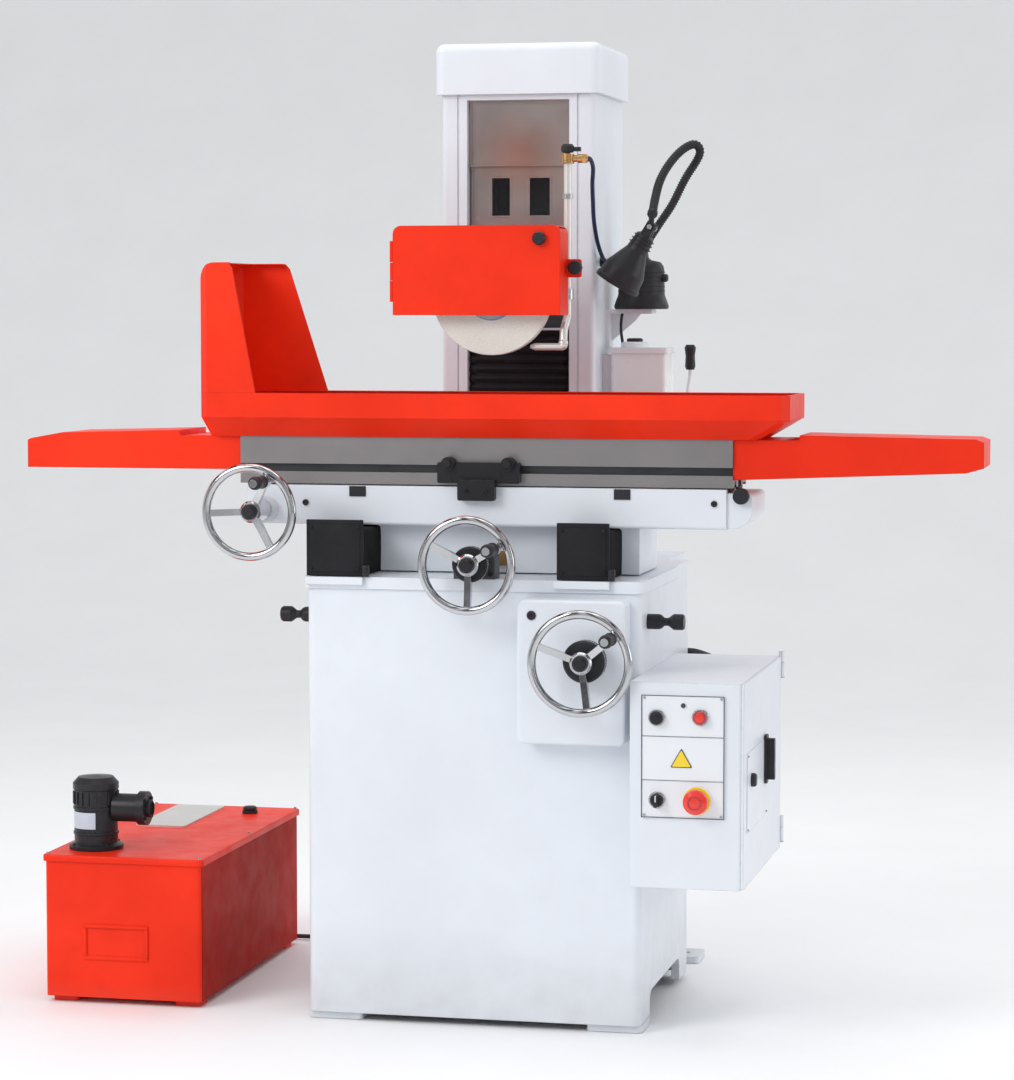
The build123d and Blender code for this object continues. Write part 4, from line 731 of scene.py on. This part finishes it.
def triangle_plate(name, finish, size, y):
    """Upright triangle with rounded corners, size mm from its centre to a corner."""
    tips = [Vector((361 + size * math.cos(math.radians(a)), 461 + size * math.sin(math.radians(a))))
            for a in (90, 210, 330)]

    def add_plate(bm):
        outline = []
        for i, tip in enumerate(tips):
            to_last = (tips[i - 1] - tip).normalized()
            to_next = (tips[(i + 1) % 3] - tip).normalized()
            for k in range(5):
                t = k / 4
                x, z = tip + (to_last * (1 - t) ** 2 + to_next * t ** 2) * 0.14 * size
                outline.append(bm.verts.new(place(x, y, z)))
        face = bm.faces.new(outline)
        extruded = bmesh.ops.extrude_face_region(bm, geom=[face])["geom"]
        for part in extruded:
            if isinstance(part, bmesh.types.BMVert):
                part.co.y += 0.0012

    build(name, finish, "base", add_plate, smooth=False)


triangle_plate("warning_triangle_edge", "line", size=20.5, y=-103.0)
triangle_plate("warning_triangle", "yellow", size=17.5, y=-103.5)
for name, finish, body, button in (("stop_button_face", "redplastic", "stop", STOP),
                                   ("start_button_face", "blackpaint", "start", START)):
    build(name, finish, body,
          turned(on_panel(button, -113.9), FRONT,
                 [(0, 0), (7.5, 0), (7.5, 0.5), (6.5, 1.0), (0, 1.3)], 28))
build("selector_mark", "mark", "selector",
      box((SELECTOR[0] - 0.8, SELECTOR[0] + 0.8), (-122.6, -121.8), (398, 408), 0.2, 1))
build("estop_ring", "darkred", "estop",
      turned(on_panel(EMERGENCY, -128.6), FRONT,
             [(9, 0), (11.2, 0.2), (11.2, 1.8), (9, 1.9), (9, 0)], 36))
build("control_plate_screws", "steel", "base",
      *(cap_screw((x, -102, z), FRONT, 2.4) for z in (560, 375) for x in (302, 424)))

# ------------------------------------------------------------------ electrical box
build("door_plate_screws", "steel", "cabinet_door",
      *(cap_screw((460, y, z), RIGHT, 2.2) for z in (465, 348) for y in (-58, 144)))
build("door_hinge_pins", "steel", "base",
      *(turned((460, 332, z - 13.5), UP,
               [(0, 0), (3.2, 0), (4.6, 0.6), (4.6, 1.5), (0, 1.5)], 20) for z in (280, 560)))
build("switchgear_plate", "sheet", "base", box((281.5, 284.5), (-66, 298), (292, 552), 1.0, 1))
# five stepped blocks above, three plain ones below
upper_blocks = []
for i in range(5):
    y = i * 54
    upper_blocks += [box((285, 341), (y - 8, y + 36), (430, 512), 2.5),
                     box((341, 349), (y, y + 28), (452, 492), 1.5)]
build("switchgear_blocks", "black", "base", *upper_blocks,
      *(box((285, 329), (i * 88 - 8, i * 88 + 64), (312, 376), 2.5) for i in range(3)))
build("switchgear_wires", "hose", "base",
      *(tube(curve([(294, -2 + i * 21, 430), (300, 1 + i * 21, 408), (302, 4 + i * 20, 392),
                    (296, 2 + i * 20, 376)], 8), 1.6, 8) for i in range(12)))

# ------------------------------------------------------------------ front of the machine
build("stop_bracket_bolts", "blackpaint", "table",
      *(part for x in (-54, 46) for part in (
          hex_bolt((x, 56, 916), FRONT, 13, 6),
          turned((x, 56.2, 916), FRONT, [(0, 0), (9.5, 0), (9.5, 1.2), (0, 1.2)], 28))),
      *(cap_screw((x, 52, 872), FRONT, 4) for x in (-22, 10)))
build("gearbox_plug", "black", "base",
      turned((108, -44.8, 680), FRONT,
             [(0, 0), (7.5, 0), (7.5, 2), (6, 3.4), (3, 3.4), (3, 1.2), (0, 1.2)], 28))
build("cross_block_screws", "blackpaint", "base",
      *(cap_screw((x, -6, 741), FRONT, 5) for x in (-22, 32)))
build("saddle_plug_faces", "blackpaint", "saddle",
      *(turned((x, 68.6, z), FRONT,
               [(0, 0), (5.2, 0), (5.2, 0.8), (4.2, 1.2), (2.2, 1.2), (2.2, 0.3), (0, 0.3)], 24)
        for x, z in ((-299, 849), (384, 855))))
# strips at both ends of the saddle beam
build("saddle_wipers", "rubber", "saddle",
      *(box(x_span, y_span, (873, 879.2), 0.8)
        for y_span in ((84, 138), (172, 226)) for x_span in ((404.2, 407), (-403, -400.2))))

# ------------------------------------------------------------------ wheel and guard
build("guard_tab_knob", "black", "head",
      turned((KNOB_X, 166, KNOB_Z), FRONT,
             [(0, 0), (4, 0), (4, 5), (9.5, 6), (11.5, 8), (11.8, 15), (10, 18), (0, 18.6)], 28),
      *(box((KNOB_X + dx - 1.1, KNOB_X + dx + 1.1), (149.5, 158.5),
            (KNOB_Z + dz - 1.1, KNOB_Z + dz + 1.1), 0.4, 1) for dx, dz in around(12, 11)))
build("guard_screws", "blackpaint", "head",
      *(cap_screw((dx, 172, WHEEL_Z + dz), FRONT, 5) for dx, dz in around(4, 47, first=45)))
build("wheel_blotters", "paper", "spindle",
      *(turned((0, y, WHEEL_Z), axis, [(36.5, 0), (43, 0), (43, 0.3), (36.5, 0.3)], 56)
        for y, axis in ((139.7, FRONT), (160.3, BACK))))
build("spindle_nut", "steel", "spindle",
      hex_bolt((0, 126.2, WHEEL_Z), FRONT, 24, 9.5),
      *(turned((dx, 128.2, WHEEL_Z + dz), FRONT,
               [(0, 0), (3, 0), (3, 0.8), (1.4, 0.8), (1.4, 0.2), (0, 0.2)], 16)
        for dx, dz in around(6, 29)))

# ------------------------------------------------------------------ coolant hose, head to column
HOSE_SPOTS = [
    (149, 196, 1416), (154, 201, 1415), (154.5, 222, 1402), (148, 250, 1376), (144, 276, 1346),
    (141, 300, 1316), (141, 330, 1282), (144, 362, 1256), (146, 380, 1250), (141, 392, 1249),
    (132, 394, 1249)]
build("valve_union", "brass", "head",
      hex_bolt((141.5, 196, 1416), RIGHT, 15, 8),
      turned(HOSE_SPOTS[0], RIGHT, [(0, 0), (5.5, 0), (5.5, 3), (0, 3)], 20))
hose = build("coolant_hose", "hose", None, tube(curve(HOSE_SPOTS, 20, step=3), 3.6, 14), angle=60)
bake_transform(hose)
build("hose_grommet", "black", "base",
      turned((134.5, 394, 1249), RIGHT,
             [(0, 0), (8.5, 0), (8.5, 1.4), (6.5, 4), (4.2, 4.4), (4.2, 0)], 24))

# ------------------------------------------------------------------ pump and tank
# curved label on the front of the pump, from -150 to -72 degrees about its axis
label_rows = []
for i in range(19):
    t = math.radians(-150 + 78 * i / 18)
    label_rows.append([(PUMP_X + r * math.cos(t), PUMP_Y + r * math.sin(t), z)
                       for r, z in ((37.0, 288), (37.7, 288), (37.7, 316), (37.0, 316))])
build("pump_label", "label", "base", skin(label_rows, solid=True), smooth=False)
build("pump_rings", "blackpaint", "base",
      *(turned((PUMP_X, PUMP_Y, 0), UP, profile, 64) for profile in (
          [(36.9, 276), (38.6, 277), (38.6, 281), (36.9, 282)],
          [(36.9, 319), (38.8, 320), (38.8, 324), (36.9, 325)])))
pump_screws = []
for (cover_y, cover_z), (foot_x, foot_y) in zip(around(4, 22, first=45), around(4, 41, first=45)):
    pump_screws += [
        cap_screw((PUMP_COVER_X, PUMP_Y + cover_y, PUMP_COVER_Z + cover_z), RIGHT, 3.4),
        cap_screw((PUMP_X + foot_x, PUMP_Y + foot_y, 258), UP, 4)]
build("pump_fins_and_screws", "blackpaint", "base",
      *(swung_block((PUMP_X, PUMP_Y, 0), 2 * math.pi * i / 20, "Z",
                    (36.5, 39.2), (-1.2, 1.2), (328, 350)) for i in range(20)),
      turned((PUMP_COVER_X, PUMP_Y, PUMP_COVER_Z), RIGHT, [(24, 0), (24, -1.5), (0, -1.5)]),
      *pump_screws)
build("pump_cover_and_filler", "black", "base",
      turned((PUMP_COVER_X, PUMP_Y, PUMP_COVER_Z), RIGHT,
             [(15, 0), (15, 6), (12, 8), (12, 3), (0, 3)], 36),
      turned((-541, 528, 257), UP,
             [(0, 0), (11, 0), (12.5, 1.5), (12.5, 5), (10, 7), (0, 7.4)], 36))
build("tank_lid_screws", "steel", "base",
      *(cap_screw((x, y, 250.8), UP, 3.2) for x in (-744, -476) for y in (33, 315, 598)))
# raised frame on the tank front: top, bottom, left, right
build("tank_front_frame", "red", "base",
      *(box(x_span, (25.4, 30), z_span, 1.6) for x_span, z_span in (
          ((-680, -565), (129, 135)), ((-680, -565), (75, 81)),
          ((-680, -674), (81, 129)), ((-571, -565), (81, 129)))))
PUMP_CABLE_SPOTS = [
    (-690, 144, 340), (-700, 158, 338), (-716, 196, 285), (-728, 250, 258), (-742, 300, 256),
    (-756, 330, 240), (-757, 400, 120), (-757, 500, 30), (-742, 600, 14), (-700, 625, 9),
    (-560, 632, 7), (-420, 640, 7), (-330, 644, 20), (-262, 642, 54), (-240, 640, 60)]
build("pump_cable", "rubber", "base", tube(curve(PUMP_CABLE_SPOTS, 20, step=4), 4.0, 14), angle=60)

# ------------------------------------------------------------------ rear, column and tray
build("rear_cover_screws", "steel", "base",
      *(cap_screw((x, 605, z), BACK, 5) for x in (-97, 97) for z in range(800, 1481, 170)))
CONDUIT_SPOTS = [CONDUIT_BOX_END, (340, 360, 548), (330, 420, 560), (290, 480, 566),
                 (262, 500, 566), CONDUIT_COLUMN_END]
build("box_conduit", "rubber", "base",
      tube(curve(CONDUIT_SPOTS, 20, step=1.2), 9.5, 18, rib_pitch=6.0), angle=80)
build("conduit_glands", "black", "base",
      *(turned(spot, axis, [(0, 0), (15, 0), (15, 5), (12.5, 7), (12.5, 14), (0, 14)], 30)
        for spot, axis in ((CONDUIT_BOX_END, BACK), (CONDUIT_COLUMN_END, RIGHT))))
build("oil_filler_cap", "black", "base",
      turned((186, 440, 1112), UP, [(0, 0), (13, 0), (14, 1), (14, 4), (12, 6), (0, 6.4)], 32))
build("oil_pipes", "brass", "base",
      *(tube(curve([(x, y, 946), (x, y, 920), (x - 6, 436, 860), (x - 12, 430, 800),
                    (x - 14, 420, 752), (x - 30, 400, 738)], 12, step=4), 2.2, 10)
        for x, y in ((160, 440), (170, 446))), angle=60)
build("lamp_cable", "black", "base",
      tube(curve([(163, 444, 1160), (162, 441, 1150), (161.5, 440, 1135), (163, 440, 1120),
                  (165, 440, 1108), (166, 440, 1100)], 12), 2.6, 10), angle=60)
build("tray_fold", "red", "table",
      tube([place(-459, 40.5, 990.5), place(493, 40.5, 990.5)], 1.3, 10), angle=60)


# ------------------------------------------------------------------ stage, lights, world, camera
def build_floor():
    """Floor 30 m square, curving up from 4 m behind the origin."""
    bm = bmesh.new()
    bmesh.ops.create_grid(bm, x_segments=40, y_segments=40, size=15.0)
    for vert in bm.verts:
        if vert.co.y > 4.0:
            vert.co.z += 0.16 * (vert.co.y - 4.0) ** 2
    mesh = bpy.data.meshes.new("floor")
    bm.to_mesh(mesh)
    bm.free()
    floor = bpy.data.objects.new("floor", mesh)
    bpy.context.scene.collection.objects.link(floor)
    for face in mesh.polygons:
        face.use_smooth = True
    mesh.materials.append(FINISHES["floor"])
    floor.location.z = -0.0005


def area_light(name, spot, target, size, power):
    light = bpy.data.lights.new(name, "AREA")
    light.energy = power
    light.size = size
    holder = bpy.data.objects.new(name, light)
    holder.location = spot
    aim = Vector(target) - Vector(spot)
    holder.rotation_euler = aim.to_track_quat("-Z", "Y").to_euler()
    bpy.context.scene.collection.objects.link(holder)


def build_world():
    """Plain sky, brighter upwards; glossy rays see dark and bright bands instead."""
    world = bpy.data.worlds.new("studio")
    bpy.context.scene.world = world
    nodes = Nodes(world)
    coords = nodes.add("TexCoord").outputs["Generated"]
    z = nodes.add("SeparateXYZ", {0: coords}).outputs["Z"]
    sky = nodes.add("Background", {"Color": (0.97, 0.985, 1.0, 1),
                                   "Strength": nodes.remap(z, -0.2, 0.8, 0.55, 0.80)})
    squeezed = nodes.add("Mapping", {0: coords, "Scale": (1.0, 1.0, 2.2)}).outputs[0]
    wave = nodes.add("TexWave", {0: squeezed, "Scale": 1.1, "Distortion": 1.5})
    bands = nodes.add("ValToRGB", {0: wave.outputs["Color"]})
    dark, bright = bands.color_ramp.elements
    dark.position, dark.color = 0.30, (0.02, 0.02, 0.025, 1)
    bright.position, bright.color = 0.72, (0.95, 0.97, 1.0, 1)
    room = nodes.add("Background", {"Color": bands.outputs[0], "Strength": 0.8})
    glossy = nodes.add("LightPath").outputs["Is Glossy Ray"]
    mixed = nodes.add("MixShader", {0: glossy, 1: sky.outputs[0], 2: room.outputs[0]})
    nodes.add("OutputWorld", {0: mixed.outputs[0]})


def build_camera(spot, turn_left, tilt_down, lens):
    """Camera looking along +Y, turned left and tilted down by the given degrees."""
    camera = bpy.data.cameras.new("cam")
    camera.lens = lens
    camera.sensor_width = 36
    camera.sensor_fit = "AUTO"
    camera.clip_end = 60
    holder = bpy.data.objects.new("cam", camera)
    turn, tilt = math.radians(turn_left), math.radians(tilt_down)
    forward = Vector((-math.sin(turn) * math.cos(tilt), math.cos(turn) * math.cos(tilt),
                      -math.sin(tilt)))
    right = Vector((math.cos(turn), math.sin(turn), 0))
    facing = Matrix((right, right.cross(forward), -forward)).transposed().to_4x4()
    holder.matrix_world = Matrix.Translation(place(*spot)) @ facing
    bpy.context.scene.collection.objects.link(holder)
    bpy.context.scene.camera = holder


build_floor()
# places and sizes in metres, power in watts
area_light("key", spot=(-2.6, -3.6, 3.2), target=(0, 0, 0.9), size=2.2, power=92)
area_light("fill", spot=(2.6, -4.2, 1.9), target=(0.1, 0, 0.8), size=2.2, power=5)
area_light("side", spot=(3.6, 0.1, 1.6), target=(0.1, 0, 0.9), size=2.0, power=20)
area_light("top", spot=(0.0, 0.2, 3.9), target=(0, 0, 0.8), size=3.0, power=40)
area_light("rim", spot=(2.4, 2.6, 2.4), target=(0.1, 0.1, 0.9), size=1.6, power=10)
build_world()
build_camera(spot=(1183.483, -5018.218, 1163.061), turn_left=12.640393, tilt_down=4.073798,
             lens=106.66666666666667)
bpy.context.scene.view_settings.view_transform = "Standard"
